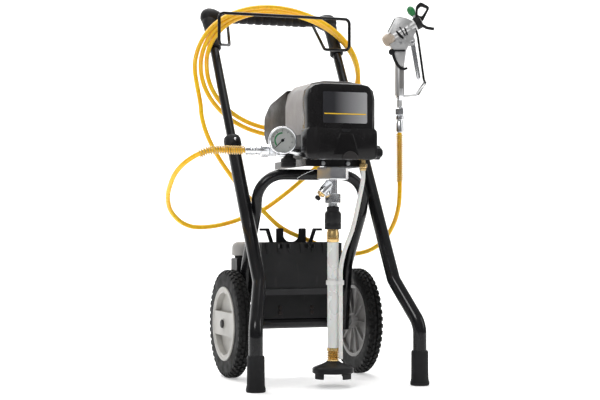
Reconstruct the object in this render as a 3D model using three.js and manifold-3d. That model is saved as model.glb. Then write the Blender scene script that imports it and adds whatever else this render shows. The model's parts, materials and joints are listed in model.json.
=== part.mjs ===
// Airless paint sprayer on a two-wheeled cart. Millimetres, +Z up, the front of the cart towards -Y.
// Built round the point on the floor under the middle of the axle, then moved so that the origin is
// on the floor under the middle of the whole object, its free hose not counted.
import * as THREE from 'three';
import { mergeVertices } from 'three/addons/utils/BufferGeometryUtils.js';
import Module from 'manifold-3d';

const wasm = await Module();
wasm.setup();

// ---- driving dimensions ----
const TAU = Math.PI * 2;
const GAP = 0.3;
const WELD = 1e-4;
const CENTRE_X = 60.96;
const CENTRE_Y = -49.35;

const TUBE_R = 15.5;
const TUBE_BORE_R = 11.6;
const RAIL_X = 161;
const RAIL_Y = -220;
const RAIL_Z = 234;
const RAIL_LEAN = 0.642;
const RAIL_TOP_Z = 560;
const FOOT_X = 193;
const FOOT_Y = -292;
const FOOT_HEIGHT = 78;
const KNEE_Z = 136;
const INNER_R = 11;
const INNER_WALL = 1.8;
const INNER_LOW_Z = 434;
const INNER_TOP_Z = 835;
const GRIP_LOW_Z = 790;
const GRIP_Z = 878;
const GRIP_BAR_R = 13;

const WHEEL_R = 127;
const WHEEL_X = 161;
const WHEEL_HALF = 16.5;
const RIM_R = 87;
const AXLE_Z = 127;
const AXLE_R = 8;
const BEAM_R = 15;
const LEG_X = 132;
const LEG_LOW_X = 126;
const LEG_R = 12.5;
const CROSSBAR_Y = -121;
const CROSSBAR_Z = 475;

const TRAY_HALF = 100;
const TRAY_FRONT = -52;
const TRAY_REAR = 26.7;
const TRAY_LOW = 195;
const TRAY_TOP = 317;
const TRAY_WALL = 3;

const PUMP_HALF = 80;
const PUMP_Y = -252;
const PUMP_BASE_Z = 505;
const COVER_FRONT_Y = -310;
const COVER_REAR_Y = -275;
const SHROUD_REAR_Y = -160;
const MOTOR_REAR_Y = 2;
const SHROUD_TOP = 677;
const CRANK_Z = 570;
const GEAR_R = 26;
const PINION_R = 6;
const MOTOR_Z = CRANK_Z + GEAR_R + PINION_R + 0.5;
const MOTOR_R = 40;
const ECCENTRIC_R = 16;
const ECCENTRIC_THROW = 4;

const OUTLET_X = -119;
const OUTLET_Y = -246;
const OUTLET_Z = 522;
const VALVE_X = -103;
const GAUGE_Z = 543;
const GAUGE_R = 31;
const GAUGE_TURN = -15;

const HOSE_R = 5.5;
const HOSE_SIDES = 8;
const COIL_Z = 738;
const COIL_HALF_WIDTH = 205;
const COIL_HALF_HEIGHT = 160;
const GUN_X = 256;
const GUN_Y = -40;
const GUN_TURN = -19.8;
const BARREL_Z = 825;
const BARREL_RISE = 30;

// ---- helpers ----
const V = (x, y, z) => new THREE.Vector3(x, y, z);
const UP = V(0, 0, 1);
const RIGHT = V(1, 0, 0);
const rad = THREE.MathUtils.degToRad;
const railPoint = (side, z) => V(side * RAIL_X, RAIL_Y + (z - RAIL_Z) * RAIL_LEAN, z);
const RAIL_DIR = V(0, RAIL_LEAN, 1).normalize();
const RAIL_FRONT = V(0, -1, RAIL_LEAN).normalize();

// A path whose sections stand exactly at the given points.
class Route extends THREE.Curve {
  constructor(points) {
    super();
    this.points = points;
  }

  getSpacedPoints() {
    return this.points;
  }

  getTangentAt(u) {
    const last = this.points.length - 1;
    const i = Math.round(u * last);
    const here = this.points[i];
    const sum = V(0, 0, 0);
    if (i > 0) sum.add(here.clone().sub(this.points[i - 1]).normalize());
    if (i < last) sum.add(this.points[i + 1].clone().sub(here).normalize());
    return sum.normalize();
  }
}

function weldedMesh(geometry) {
  const bare = new THREE.BufferGeometry();
  bare.setAttribute('position', geometry.getAttribute('position'));
  if (geometry.index) bare.setIndex(geometry.index);
  const welded = mergeVertices(bare, WELD);
  const index = welded.index.array;
  const kept = [];
  for (let i = 0; i < index.length; i += 3) {
    const [a, b, c] = [index[i], index[i + 1], index[i + 2]];
    if (a !== b && b !== c && c !== a) kept.push(a, b, c);
  }
  return { at: welded.getAttribute('position').array, kept };
}

function signedVolume(at, kept) {
  const corner = (i) => V(at[3 * i], at[3 * i + 1], at[3 * i + 2]);
  let sum = 0;
  for (let i = 0; i < kept.length; i += 3) {
    sum += corner(kept[i]).dot(corner(kept[i + 1]).cross(corner(kept[i + 2])));
  }
  return sum;
}

function solid(geometry) {
  if (!geometry.isBufferGeometry) return geometry;
  const { at, kept } = weldedMesh(geometry);
  if (signedVolume(at, kept) < 0) kept.reverse();
  const mesh = new wasm.Mesh({
    numProp: 3,
    vertProperties: new Float32Array(at),
    triVerts: new Uint32Array(kept),
  });
  mesh.merge();
  return new wasm.Manifold(mesh);
}

function join(...pieces) {
  return pieces.map(solid).reduce((a, b) => a.add(b));
}

function cut(base, ...tools) {
  return tools.map(solid).reduce((a, b) => a.subtract(b), solid(base));
}

function toGeometry(made) {
  const mesh = solid(made).getMesh();
  const geometry = new THREE.BufferGeometry();
  const at = new Float32Array(mesh.numVert * 3);
  for (let i = 0; i < mesh.numVert; i += 1) {
    for (let k = 0; k < 3; k += 1) at[3 * i + k] = mesh.vertProperties[i * mesh.numProp + k];
  }
  geometry.setAttribute('position', new THREE.BufferAttribute(at, 3));
  geometry.setIndex(Array.from(mesh.triVerts));
  geometry.computeVertexNormals();
  return geometry;
}

function circle(radius, sides) {
  const points = [];
  for (let i = 0; i < sides; i += 1) {
    const a = (i / sides) * TAU;
    points.push(new THREE.Vector2(radius * Math.cos(a), radius * Math.sin(a)));
  }
  return new THREE.Shape(points);
}

function rod(points, radius, sides = 12) {
  return new THREE.ExtrudeGeometry(circle(radius, sides), {
    steps: points.length - 1,
    extrudePath: new Route(points),
  });
}

// Rounds every inner corner of a bent tube with a true arc.
function bent(corners, radius, parts = 3) {
  const points = [corners[0]];
  for (let i = 1; i < corners.length - 1; i += 1) {
    const into = corners[i].clone().sub(corners[i - 1]).normalize();
    const out = corners[i + 1].clone().sub(corners[i]).normalize();
    const angle = into.angleTo(out);
    const inward = out.clone().sub(into).normalize();
    const centre = corners[i].clone().addScaledVector(inward, radius / Math.cos(angle / 2));
    const start = corners[i].clone().addScaledVector(into, -radius * Math.tan(angle / 2)).sub(centre);
    const axis = into.clone().cross(out).normalize();
    for (let k = 0; k <= parts; k += 1) {
      points.push(start.clone().applyAxisAngle(axis, (angle * k) / parts).add(centre));
    }
  }
  points.push(corners[corners.length - 1]);
  return points;
}

function aimed(geometry, from, direction) {
  const turn = new THREE.Quaternion().setFromUnitVectors(UP, direction.clone().normalize());
  return geometry.applyQuaternion(turn).translate(from.x, from.y, from.z);
}

// A turned piece: [radius, height] pairs from its foot, standing at a point along a direction.
function turned(profile, from, direction = UP, sides = 16) {
  const points = profile.map(([r, z]) => new THREE.Vector2(r, z));
  return aimed(new THREE.LatheGeometry(points, sides).rotateX(Math.PI / 2), from, direction);
}

function disc(radius, height, from, direction = UP, sides = 12) {
  return turned([[0, 0], [radius, 0], [radius, height], [0, height]], from, direction, sides);
}

function hexagon(acrossFlats, height, from, direction = UP) {
  return turned([[0, 0], [acrossFlats / Math.sqrt(3), 0], [acrossFlats / Math.sqrt(3), height],
    [0, height]], from, direction, 6);
}

function block(x0, x1, y0, y1, z0, z1) {
  return new THREE.BoxGeometry(x1 - x0, y1 - y0, z1 - z0)
    .translate((x0 + x1) / 2, (y0 + y1) / 2, (z0 + z1) / 2);
}

// A closed outline from [x, y, corner radius] triples.
function outline(corners) {
  const shape = new THREE.Shape();
  const at = ([x, y]) => new THREE.Vector2(x, y);
  corners.forEach((corner, i) => {
    const here = at(corner);
    const before = at(corners[(i + corners.length - 1) % corners.length]).sub(here).normalize();
    const after = at(corners[(i + 1) % corners.length]).sub(here).normalize();
    const radius = corner[2] ?? 0;
    const start = here.clone().addScaledVector(before, radius);
    const end = here.clone().addScaledVector(after, radius);
    if (i === 0) shape.moveTo(start.x, start.y);
    else shape.lineTo(start.x, start.y);
    if (radius > 0) shape.quadraticCurveTo(here.x, here.y, end.x, end.y);
  });
  shape.closePath();
  return shape;
}

// An outline drawn in X and Z, as thick as the stretch between two Y.
function alongY(corners, y0, y1, bevel = 0) {
  return new THREE.ExtrudeGeometry(outline(corners), {
    depth: y1 - y0 - 2 * bevel,
    curveSegments: 3,
    bevelEnabled: bevel > 0,
    bevelSize: bevel,
    bevelOffset: -bevel,
    bevelThickness: bevel,
    bevelSegments: 2,
  }).rotateX(Math.PI / 2).translate(0, y1 - bevel, 0);
}

// An outline drawn in Y and Z, as thick as the stretch between two X.
function alongX(corners, x0, x1, bevel = 0) {
  const turn = new THREE.Matrix4().makeBasis(V(0, 1, 0), UP, RIGHT);
  return new THREE.ExtrudeGeometry(outline(corners), {
    depth: x1 - x0 - 2 * bevel,
    curveSegments: 3,
    bevelEnabled: bevel > 0,
    bevelSize: bevel,
    bevelOffset: -bevel,
    bevelThickness: bevel,
    bevelSegments: 2,
  }).applyMatrix4(turn).translate(x0 + bevel, 0, 0);
}

// ---- cart frame ----
function mainTube(side) {
  const corners = [V(side * FOOT_X, FOOT_Y, 6), V(side * FOOT_X, FOOT_Y, KNEE_Z),
    railPoint(side, RAIL_Z), railPoint(side, RAIL_TOP_Z)];
  const bore = rod([railPoint(side, RAIL_Z + 10), railPoint(side, RAIL_TOP_Z + 20)], TUBE_BORE_R);
  return cut(rod(bent(corners, 60, 3), TUBE_R), bore);
}

function foot(side) {
  const bore = TUBE_R + GAP;
  return turned([[0, 0], [20, 0], [21.5, 3], [21.5, 8], [19, 14], [19, FOOT_HEIGHT - 2],
    [18, FOOT_HEIGHT], [bore, FOOT_HEIGHT], [bore, 5.5], [0, 5.5]], V(side * FOOT_X, FOOT_Y, 0));
}

const COLLAR_LAP = 20;
const COLLAR_LOW = RAIL_TOP_Z - COLLAR_LAP;
const BUTTON_AT = 9;

function collar(side) {
  const low = railPoint(side, COLLAR_LOW);
  const wide = TUBE_R + GAP;
  const narrow = INNER_R + 0.4;
  const step = COLLAR_LAP / RAIL_DIR.z + 0.5;
  const sleeve = turned([[wide, 0], [18.5, 0], [20.5, 4], [20.5, 23], [17, 28], [narrow, 28],
    [narrow, step], [wide, step], [wide, 0]], low, RAIL_DIR, 20);
  const centre = low.clone().addScaledVector(RAIL_DIR, BUTTON_AT);
  const boss = disc(6, 6, centre.clone().addScaledVector(RAIL_FRONT, 16.5), RAIL_FRONT, 16);
  const hole = disc(3.6, 30, centre, RAIL_FRONT, 16);
  return cut(join(sleeve, boss), hole);
}

function lockButton(side) {
  const centre = railPoint(side, COLLAR_LOW).addScaledVector(RAIL_DIR, BUTTON_AT);
  return turned([[0, 18.3], [3.3, 18.3], [3.3, 23], [2.4, 24.2], [0, 24.5]], centre, RAIL_FRONT, 16);
}

function supportFrame() {
  const half = [V(-LEG_LOW_X, 2, 108), V(-LEG_LOW_X - 1.5, -17, 262), V(-LEG_X + 1, -103, 390),
    V(-LEG_X, CROSSBAR_Y, CROSSBAR_Z)];
  const mirrored = half.map((p) => V(-p.x, p.y, p.z)).reverse();
  const tube = rod(bent([...half, ...mirrored], 60, 4), LEG_R);
  return cut(tube, rod([V(-160, 0, AXLE_Z), V(160, 0, AXLE_Z)], AXLE_R + GAP));
}

function axleBeam() {
  const end = LEG_LOW_X - LEG_R - GAP - 0.2;
  return cut(rod([V(-end, 0, AXLE_Z), V(end, 0, AXLE_Z)], BEAM_R),
    rod([V(-end - 1, 0, AXLE_Z), V(end + 1, 0, AXLE_Z)], AXLE_R + GAP));
}

function axleShaft() {
  const caps = [-1, 1].map((side) => turned([[0, 0], [10, 0], [10, 3], [7, 5], [0, 5]],
    wheelCentre(side).addScaledVector(outward(side), 18.8), outward(side), 20));
  const end = WHEEL_X + 20;
  return join(rod([V(-end, 0, AXLE_Z), V(end, 0, AXLE_Z)], AXLE_R), ...caps);
}

// ---- wheels ----
const outward = (side) => V(side, 0, 0);
const wheelCentre = (side) => V(side * WHEEL_X, 0, AXLE_Z);

function tyre(side) {
  const half = WHEEL_HALF;
  const r = WHEEL_R;
  return turned([[RIM_R, -14], [104, -half], [r - 7, -half + 1.5], [r - 1.5, -half + 6], [r, 0],
    [r - 1.5, half - 6], [r - 7, half - 1.5], [104, half], [RIM_R, 16], [RIM_R, -14]],
  wheelCentre(side), outward(side), 32);
}

function rim(side) {
  const edge = RIM_R - GAP;
  const centre = wheelCentre(side);
  const out = outward(side);
  const bore = AXLE_R + GAP;
  const dish = turned([[bore, -21], [15, -21], [20, -6], [79, -6], [79, -14], [edge, -14], [edge, 18],
    [79, 17], [14, 17], [13, 18.5], [bore, 18.5], [bore, -21]], centre, out, 32);
  const ribs = [];
  for (let i = 0; i < 10; i += 1) {
    const rib = new THREE.BoxGeometry(3, 64, 8).translate(0, 48, -8.5);
    ribs.push(aimed(rib.rotateZ((i / 10) * TAU), centre, out));
  }
  const pockets = [1, -1].map((up) => {
    const half = [];
    for (let i = 0; i <= 6; i += 1) {
      const a = rad(22 + (136 * i) / 6);
      half.push([74 * Math.cos(a), centre.z + up * 74 * Math.sin(a)]);
    }
    const near = side * (WHEEL_X + 3);
    const far = side * (WHEEL_X + 30);
    return alongX(up > 0 ? half : half.reverse(), Math.min(near, far), Math.max(near, far));
  });
  return cut(join(dish, ...ribs), ...pockets);
}

// ---- handle ----
function innerTube(side) {
  const ends = [railPoint(side, INNER_LOW_Z), railPoint(side, INNER_TOP_Z)];
  const past = [railPoint(side, INNER_LOW_Z - 5), railPoint(side, INNER_TOP_Z + 5)];
  return cut(rod(ends, INNER_R), rod(past, INNER_R - INNER_WALL));
}

function hangerEnd(side) {
  return [V(side * 112.6, 190, 874.4), V(side * 125, 128, 800)];
}

function handleGrip() {
  const corners = [railPoint(-1, GRIP_LOW_Z), railPoint(-1, GRIP_Z), railPoint(1, GRIP_Z),
    railPoint(1, GRIP_LOW_Z)];
  const pieces = [rod(bent(corners, 26), GRIP_BAR_R)];
  const cuts = [];
  for (const side of [-1, 1]) {
    const low = railPoint(side, GRIP_LOW_Z);
    pieces.push(turned([[0, 0], [17, 0], [17, 6], [15.5, 10], [15.5, 70], [17.5, 84], [15, 96],
      [0, 98]], low, RAIL_DIR, 14));
    const knuckle = railPoint(side, GRIP_Z - 1).addScaledVector(RIGHT, -side * 3);
    pieces.push(turned([[0, -28], [14, -26], [20, -13], [22, 0], [20.5, 9], [15, 17.5], [7, 21.5],
      [0, 22]], knuckle, outward(side), 14));
    cuts.push(rod([railPoint(side, GRIP_LOW_Z - 5), railPoint(side, INNER_TOP_Z + 4)], INNER_R + 0.4));
    const [end, next] = hangerEnd(side);
    const along = end.clone().sub(next).normalize();
    cuts.push(disc(4.3, 40, end.clone().addScaledVector(along, -39.5), along, 10));
  }
  const bar = [[0, -96]];
  for (let i = 0; i < 6; i += 1) {
    const x = -80 + 32 * i;
    bar.push([GRIP_BAR_R - 0.5, x - 15], [GRIP_BAR_R + 2, x - 7], [GRIP_BAR_R + 2, x + 7]);
  }
  bar.push([GRIP_BAR_R - 0.5, 95], [0, 96]);
  pieces.push(turned(bar, V(0, railPoint(1, GRIP_Z).y, GRIP_Z), RIGHT, 12));
  return cut(join(...pieces), ...cuts);
}

function hoseHanger() {
  const left = [...hangerEnd(-1), V(-168.5, 70, 793), V(-168.5, 70, 870)];
  const right = left.map((p) => V(-p.x, p.y, p.z)).reverse();
  return rod(bent([...left, ...right], 12, 3), 3.9, 8);
}

// ---- tray and oil bottle ----
function toolTray() {
  const inner = TRAY_HALF - TRAY_WALL;
  const shell = cut(
    block(-TRAY_HALF, TRAY_HALF, TRAY_FRONT, TRAY_REAR, TRAY_LOW, TRAY_TOP),
    block(-inner, inner, TRAY_FRONT + TRAY_WALL, TRAY_REAR - TRAY_WALL, TRAY_LOW + TRAY_WALL, 400),
  );
  const lip = block(-TRAY_HALF - 2, TRAY_HALF + 2, TRAY_FRONT - 4, TRAY_FRONT + 0.5, TRAY_LOW, 209);
  const teeth = [];
  for (let i = 0; i < 7; i += 1) {
    const x = -84 + 28 * i;
    teeth.push(alongY([[x - 7, TRAY_TOP], [x - 4, 294], [x + 4, 294], [x + 7, TRAY_TOP]],
      TRAY_FRONT - 4, TRAY_FRONT + 0.5));
  }
  return cut(join(shell, lip, ...teeth), ...toolSlots());
}

// The notches through both long walls that take small tools.
function toolSlots() {
  return [[-60, -48], [-40, -31], [4, 16], [22, 30]].map(([from, to]) => (
    block(from, to, TRAY_FRONT - 10, TRAY_REAR + 10, 304, 314)));
}

function trayBackPlate() {
  const right = [[TRAY_HALF, 178, 4], [TRAY_HALF, 318, 4], [55, 318, 1], [64, 345, 1], [80, 345, 1],
    [80, 351, 2], [56, 351, 2], [45, 318, 1], [38, 318, 1], [38, 351, 3], [19.5, 351, 3],
    [19.5, 328, 6], [9, 319, 4]];
  const left = right.map(([x, z, r]) => [-x, z, r]).reverse();
  const plate = cut(alongY([...right, ...left], TRAY_REAR + GAP, TRAY_REAR + GAP + 3), ...toolSlots());
  return join(plate, bottleHolder());
}

function trayBracket() {
  const front = -BEAM_R - GAP - 3;
  const plate = alongY([[-108, TRAY_LOW - GAP, 0], [108, TRAY_LOW - GAP, 0], [108, 137, 10],
    [-108, 137, 10]], front, front + 3);
  const bolts = [[-43.5, 151], [-43.5, 163], [36, 151], [36, 163]].map(([x, z]) => (
    hexagon(9, 4, V(x, front + 1, z), V(0, -1, 0))));
  const shelf = block(-101, 101, front, BEAM_R, TRAY_LOW - GAP - 3, TRAY_LOW - GAP);
  return join(plate, shelf, ...bolts);
}

const BOTTLE = V(-124.5, 32, 182);

function bottleHolder() {
  const body = alongY([[-142.5, 178, 6], [-142.5, 280, 3], [-TRAY_HALF - GAP - 2, 280, 1],
    [-TRAY_HALF - GAP - 2, 178, 1]], 9, 55);
  const strap = block(-TRAY_HALF - 8, -TRAY_HALF + 12, TRAY_REAR + GAP, TRAY_REAR + GAP + 3, 190, 270);
  return cut(join(body, strap), disc(16.5, 120, BOTTLE, UP, 24));
}

function oilBottle() {
  return turned([[0, 0.4], [14, 0.4], [16, 3], [16, 104], [22.2, 106], [22.5, 124], [20, 132],
    [13, 136.5], [0, 137]], BOTTLE, UP, 20);
}

// ---- pump housing ----
function basePlate() {
  const plate = block(-72, 72, -274, -62, 499, PUMP_BASE_Z - GAP);
  const sides = [-72, 68].map((x) => block(x, x + 4, -274, -62, CROSSBAR_Z + LEG_R + 0.5, 500));
  const lip = block(-72, 72, -274, -270, CROSSBAR_Z + LEG_R + 0.5, 500);
  const studs = [-32, 27].map((x) => hexagon(9, 4, V(x, -273, 495), V(0, -1, 0)));
  return cut(join(plate, ...sides, lip, ...studs), disc(21, 60, V(0, PUMP_Y, 470), UP, 20));
}

function frontCover() {
  const cover = alongY([[-PUMP_HALF, 502, 16], [PUMP_HALF, 502, 16], [PUMP_HALF, 670, 34],
    [-PUMP_HALF, 670, 34]], COVER_FRONT_Y, COVER_REAR_Y + 12, 9);
  const skirt = alongY([[-84, 502, 14], [84, 502, 14], [84, 572, 12], [-84, 572, 12]],
    COVER_FRONT_Y - 2.2, COVER_REAR_Y + 12, 5);
  const behind = block(-100, 100, COVER_REAR_Y, COVER_REAR_Y + 30, 480, 700);
  const hollow = alongY([[-76, 508], [76, 508], [76, 664, 32], [-76, 664, 32]], -298, -270);
  return cut(join(cover, skirt), behind, hollow);
}

function labelPlate() {
  const from = COVER_FRONT_Y - GAP;
  return alongY([[-46, 582, 4], [58, 582, 4], [58, 650, 4], [-46, 650, 4]], from - 1.5, from);
}

function shroud() {
  const outer = alongY([[-66, PUMP_BASE_Z], [66, PUMP_BASE_Z], [PUMP_HALF, 562, 4],
    [PUMP_HALF, SHROUD_TOP, 50], [-PUMP_HALF, SHROUD_TOP, 50], [-PUMP_HALF, 562, 4]],
  COVER_REAR_Y + GAP, SHROUD_REAR_Y);
  const inner = alongY([[-62, 490], [62, 490], [76, 562, 4], [76, SHROUD_TOP - 4, 47],
    [-76, SHROUD_TOP - 4, 47], [-76, 562, 4]], COVER_REAR_Y - 5, SHROUD_REAR_Y + 5);
  const pipeHole = rod([V(-90, OUTLET_Y, OUTLET_Z), V(-50, OUTLET_Y, OUTLET_Z)], 12);
  const knobHole = rod([V(50, OUTLET_Y, OUTLET_Z), V(90, OUTLET_Y, OUTLET_Z)], 8);
  return cut(outer, inner, pipeHole, knobHole);
}

function rearCover() {
  const front = SHROUD_REAR_Y + GAP;
  const rear = MOTOR_REAR_Y;
  const body = alongX([[front, 522], [rear - 35, 531, 10], [rear, 568, 10], [rear, 614, 10],
    [rear - 42, 642, 14], [front, 664]], -78, 78, 4);
  const hollow = alongX([[front - 5, 527], [rear - 39, 536], [rear - 5, 570], [rear - 5, 611],
    [rear - 44, 637], [front - 5, 659.5]], -72, 72);
  const slots = [];
  for (let i = 0; i < 5; i += 1) {
    const z = 574 + 8 * i;
    slots.push(block(-42, 42, rear - 10, rear + 5, z, z + 4));
  }
  return cut(body, hollow, ...slots);
}

// ---- drive, inside the housing ----
const BACK = V(0, 1, 0);

function driveHousing() {
  const body = block(-42, 42, -226, -168, PUMP_BASE_Z + GAP, 622);
  const room = block(-36, 36, -219, -160, 536, 616);
  return cut(body, room, disc(8.5, 40, V(0, -240, CRANK_Z), BACK));
}

function crankshaft() {
  const shaft = turned([[0, -262], [8, -262], [8, -208], [GEAR_R, -208], [GEAR_R, -196], [8, -196],
    [8, -186], [0, -186]], V(0, 0, CRANK_Z), BACK, 20);
  const eccentric = disc(ECCENTRIC_R, 20, V(0, -262, CRANK_Z + ECCENTRIC_THROW), BACK);
  return join(shaft, eccentric);
}

function motorStator() {
  return turned([[29, -150], [MOTOR_R, -150], [MOTOR_R, -80], [29, -80], [29, -150]],
    V(0, 0, MOTOR_Z), BACK, 20);
}

function motorRotor() {
  const core = turned([[0, -212], [PINION_R, -212], [PINION_R, -190], [5, -190], [5, -148], [28, -148],
    [28, -82], [5, -82], [5, -44], [0, -44]], V(0, 0, MOTOR_Z), BACK);
  const blades = [];
  for (let i = 0; i < 6; i += 1) {
    const blade = new THREE.BoxGeometry(2.5, 26, 12).translate(0, 15, 0).rotateZ((i / 6) * TAU);
    blades.push(aimed(blade, V(0, -62, MOTOR_Z), BACK));
  }
  return join(core, ...blades);
}

function piston() {
  return turned([[0, 470], [7.8, 470], [7.8, 534], [14, 535.5], [14, 541.5], [0, 541.5]],
    V(0, PUMP_Y, 0));
}

function pumpHead() {
  const low = PUMP_BASE_Z + GAP;
  const barrel = turned([[0, 460], [20, 460], [20, low], [22.5, low], [22.5, 533], [0, 533]],
    V(0, PUMP_Y, 0), UP, 20);
  return cut(join(barrel, hexagon(64, 27, V(0, PUMP_Y, 460))), disc(8.2, 120, V(0, PUMP_Y, 440)));
}

// ---- suction side, from the nut down ----
const PUSHER_DIR = V(-41, 0, -47).normalize();
const PUSHER_FROM = V(0, PUMP_Y, 460);

function inletValve() {
  const body = disc(9.8, 31.7, V(0, PUMP_Y, 428), UP, 20);
  const arm = turned([[0, 12], [10.5, 12], [10.5, 40], [8.5, 42], [8.5, 46], [0, 46]], PUSHER_FROM,
    PUSHER_DIR, 20);
  const nut = hexagon(32, 21, V(0, PUMP_Y, 407.5));
  const thread = disc(11, 9, V(0, PUMP_Y, 400), UP, 20);
  const bore = disc(3.3, 16, PUSHER_FROM.clone().addScaledVector(PUSHER_DIR, 32), PUSHER_DIR, 12);
  return cut(join(body, arm, nut, thread), bore, disc(6, 90, V(0, PUMP_Y, 390)));
}

function inletPusher() {
  return turned([[0, 37], [2.9, 37], [2.9, 51], [6, 51], [6.5, 53], [6, 58], [0, 59]], PUSHER_FROM,
    PUSHER_DIR, 16);
}

function suctionCoupling() {
  return turned([[6, 320.6], [12.6, 320.6], [14, 324], [14, 345], [12.6, 349], [18.5, 349],
    [18.5, 386], [15, 389], [14, 399.7], [6, 399.7], [6, 320.6]], V(0, PUMP_Y, 0), UP, 24);
}

function suctionTube() {
  return turned([[9.8, 86.3], [12.5, 86.3], [12.5, 320.3], [9.8, 320.3], [9.8, 86.3]],
    V(0, PUMP_Y, 0), UP, 20);
}

const STRAINER_TURN = -20;

function strainer() {
  const at = V(0, PUMP_Y, 0);
  const cup = turned([[41, 31], [46, 31], [46, 42], [38, 46], [22, 52], [13, 57.5], [11, 59], [13, 65],
    [13, 72], [11, 79], [13, 86], [6, 86], [6, 50], [20, 47.5], [35, 42], [41, 38.5], [41, 31]],
  at, UP, 24);
  const skirt = turned([[41, 19], [46, 19], [46, 31.5], [41, 31.5], [41, 19]], at, UP, 24);
  const gaps = [0, 90].map((turn) => new THREE.BoxGeometry(42, 110, 20).translate(0, 0, 20.9)
    .rotateZ(rad(STRAINER_TURN + turn)).translate(at.x, at.y, 0));
  return join(cup, cut(skirt, ...gaps));
}

// ---- outlet side ----
const GAUGE_DIR = V(Math.sin(rad(GAUGE_TURN)), -Math.cos(rad(GAUGE_TURN)), 0);
const GAUGE_BACK = V(OUTLET_X, OUTLET_Y, GAUGE_Z).addScaledVector(GAUGE_DIR, 19);

function outletManifold() {
  const pipe = rod([V(-22.9, OUTLET_Y, OUTLET_Z), V(-136, OUTLET_Y, OUTLET_Z)], 11);
  const tower = turned([[0, 509], [13, 509], [15, 512], [15, 556], [12, 560], [0, 560]],
    V(OUTLET_X, OUTLET_Y, 0), UP, 20);
  const valve = turned([[0, 485.5], [15, 485.5], [17, 488], [17, 504], [15, 506], [11, 507], [11, 514],
    [0, 514]], V(VALVE_X, OUTLET_Y, 0), UP, 20);
  const boss = disc(8, 19 - GAP, V(OUTLET_X, OUTLET_Y, GAUGE_Z), GAUGE_DIR, 16);
  const nipple = hexagon(22, 16, V(-134, OUTLET_Y, OUTLET_Z), V(-1, 0, 0));
  return join(pipe, tower, valve, boss, nipple);
}

function gaugeCase() {
  const r = GAUGE_R;
  return turned([[0, 0], [r - 3, 0], [r, 4], [r, 22], [r - 2, 24], [r - 4, 24], [r - 4, 14], [0, 14]],
    GAUGE_BACK, GAUGE_DIR, 24);
}

function gaugeNeedle() {
  const hub = disc(3.5, 3, V(0, 0, 0), UP, 12);
  const pointer = block(-0.9, 0.9, -6, 20, 1, 2);
  const face = GAUGE_BACK.clone().addScaledVector(GAUGE_DIR, 14 + GAP);
  const turn = new THREE.Quaternion().setFromRotationMatrix(
    new THREE.Matrix4().makeBasis(UP.clone().cross(GAUGE_DIR), UP, GAUGE_DIR),
  );
  const sweep = new THREE.Quaternion().setFromAxisAngle(UP, rad(135));
  return [hub, pointer].map((piece) => solid(piece.applyQuaternion(sweep).applyQuaternion(turn)
    .translate(face.x, face.y, face.z))).reduce((a, b) => a.add(b));
}

function controlKnob() {
  const stem = rod([V(58, OUTLET_Y, OUTLET_Z), V(102, OUTLET_Y, OUTLET_Z)], 5);
  const star = [];
  for (let i = 0; i < 12; i += 1) {
    const r = i % 2 ? 17 : 13;
    const a = (i / 12) * TAU;
    star.push([OUTLET_Y + r * Math.cos(a), OUTLET_Z + r * Math.sin(a), 3]);
  }
  return join(stem, alongX(star, 100, 115), disc(9, 6, V(114, OUTLET_Y, OUTLET_Z), RIGHT));
}

function returnFitting() {
  return turned([[0, 479.3], [6.5, 479.3], [6.5, 486], [9, 487], [9, 494], [5, 495], [5, 501.6],
    [0, 501.6]], V(57, -290, 0), UP, 16);
}

function returnTube() {
  const route = new THREE.CatmullRomCurve3([V(57, -290, 479), V(57, -290, 462),
    V(50, -282, 412), V(38, -274, 350), V(20, -267, 296), V(13.5, -265, 262),
    V(13.2, -264.8, 240), V(13.2, -264.8, 220), V(13.2, -264.8, 62)]);
  return rod(route.getSpacedPoints(22), 4.8, 10);
}

function tubeClip() {
  const ring = disc(15.5, 10, V(0, PUMP_Y, 226), UP, 24);
  const side = disc(7.8, 10, V(13.2, -264.8, 226), UP, 16);
  const bores = [disc(12.8, 40, V(0, PUMP_Y, 210), UP, 24),
    disc(5.1, 40, V(13.2, -264.8, 210), UP, 16)];
  return cut(join(ring, side), ...bores);
}

// ---- hose ----
const LEFTWARD = V(-1, 0, 0);

function outletHoseFitting() {
  const bore = HOSE_R + 0.5;
  return turned([[0, 0], [14, 0], [14, 18], [9, 20], [9, 30], [9.5, 32], [9.5, 54], [10.5, 56],
    [10.5, 95], [bore, 95], [bore, 54.7], [0, 54.7]], V(-150.3, OUTLET_Y, OUTLET_Z), LEFTWARD, 16);
}

// Hose stretches, as points a hand would lay it through.
const HOSE_OUT = [V(-205.3, OUTLET_Y, OUTLET_Z), V(-235, OUTLET_Y, OUTLET_Z),
  V(-265, OUTLET_Y, OUTLET_Z), V(-300, -240, 515),
  V(-328, -215, 496), V(-341, -180, 474), V(-342, -135, 448), V(-337, -95, 424), V(-320, -50, 394),
  V(-288, -14, 368), V(-250, 14, 355), V(-201, 38, 355), V(-146, 54, 365), V(-100, 64, 380),
  V(-57, 70, 396), V(-3, 68, 433)];
const HOSE_RISE = [V(-3, 68, 433), V(40, 68, 467), V(88, 70, 508), V(132, 76, 552), V(166, 84, 592),
  V(192, 93, 622), V(206, 101, 650)];
const HOSE_DROP = [V(-206, 101, 650), V(-203, 100, 620), V(-192, 97, 580), V(-172, 91, 536),
  V(-146, 81, 492), V(-112, 67, 444), V(-66, 54, 396)];
const HOSE_GUN = [V(-66, 54, 396), V(-30, 44, 360), V(-3, 42, 343), V(50, 44, 322), V(110, 46, 298),
  V(160, 40, 288), V(200, 22, 296), V(228, -2, 320), V(246, -26, 362), V(254, -38, 405),
  V(GUN_X, GUN_Y, 450), V(GUN_X, GUN_Y, 464), V(GUN_X, GUN_Y, 583.2)];

const hoseLine = (points) => new THREE.CatmullRomCurve3(points, false, 'centripetal');

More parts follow.
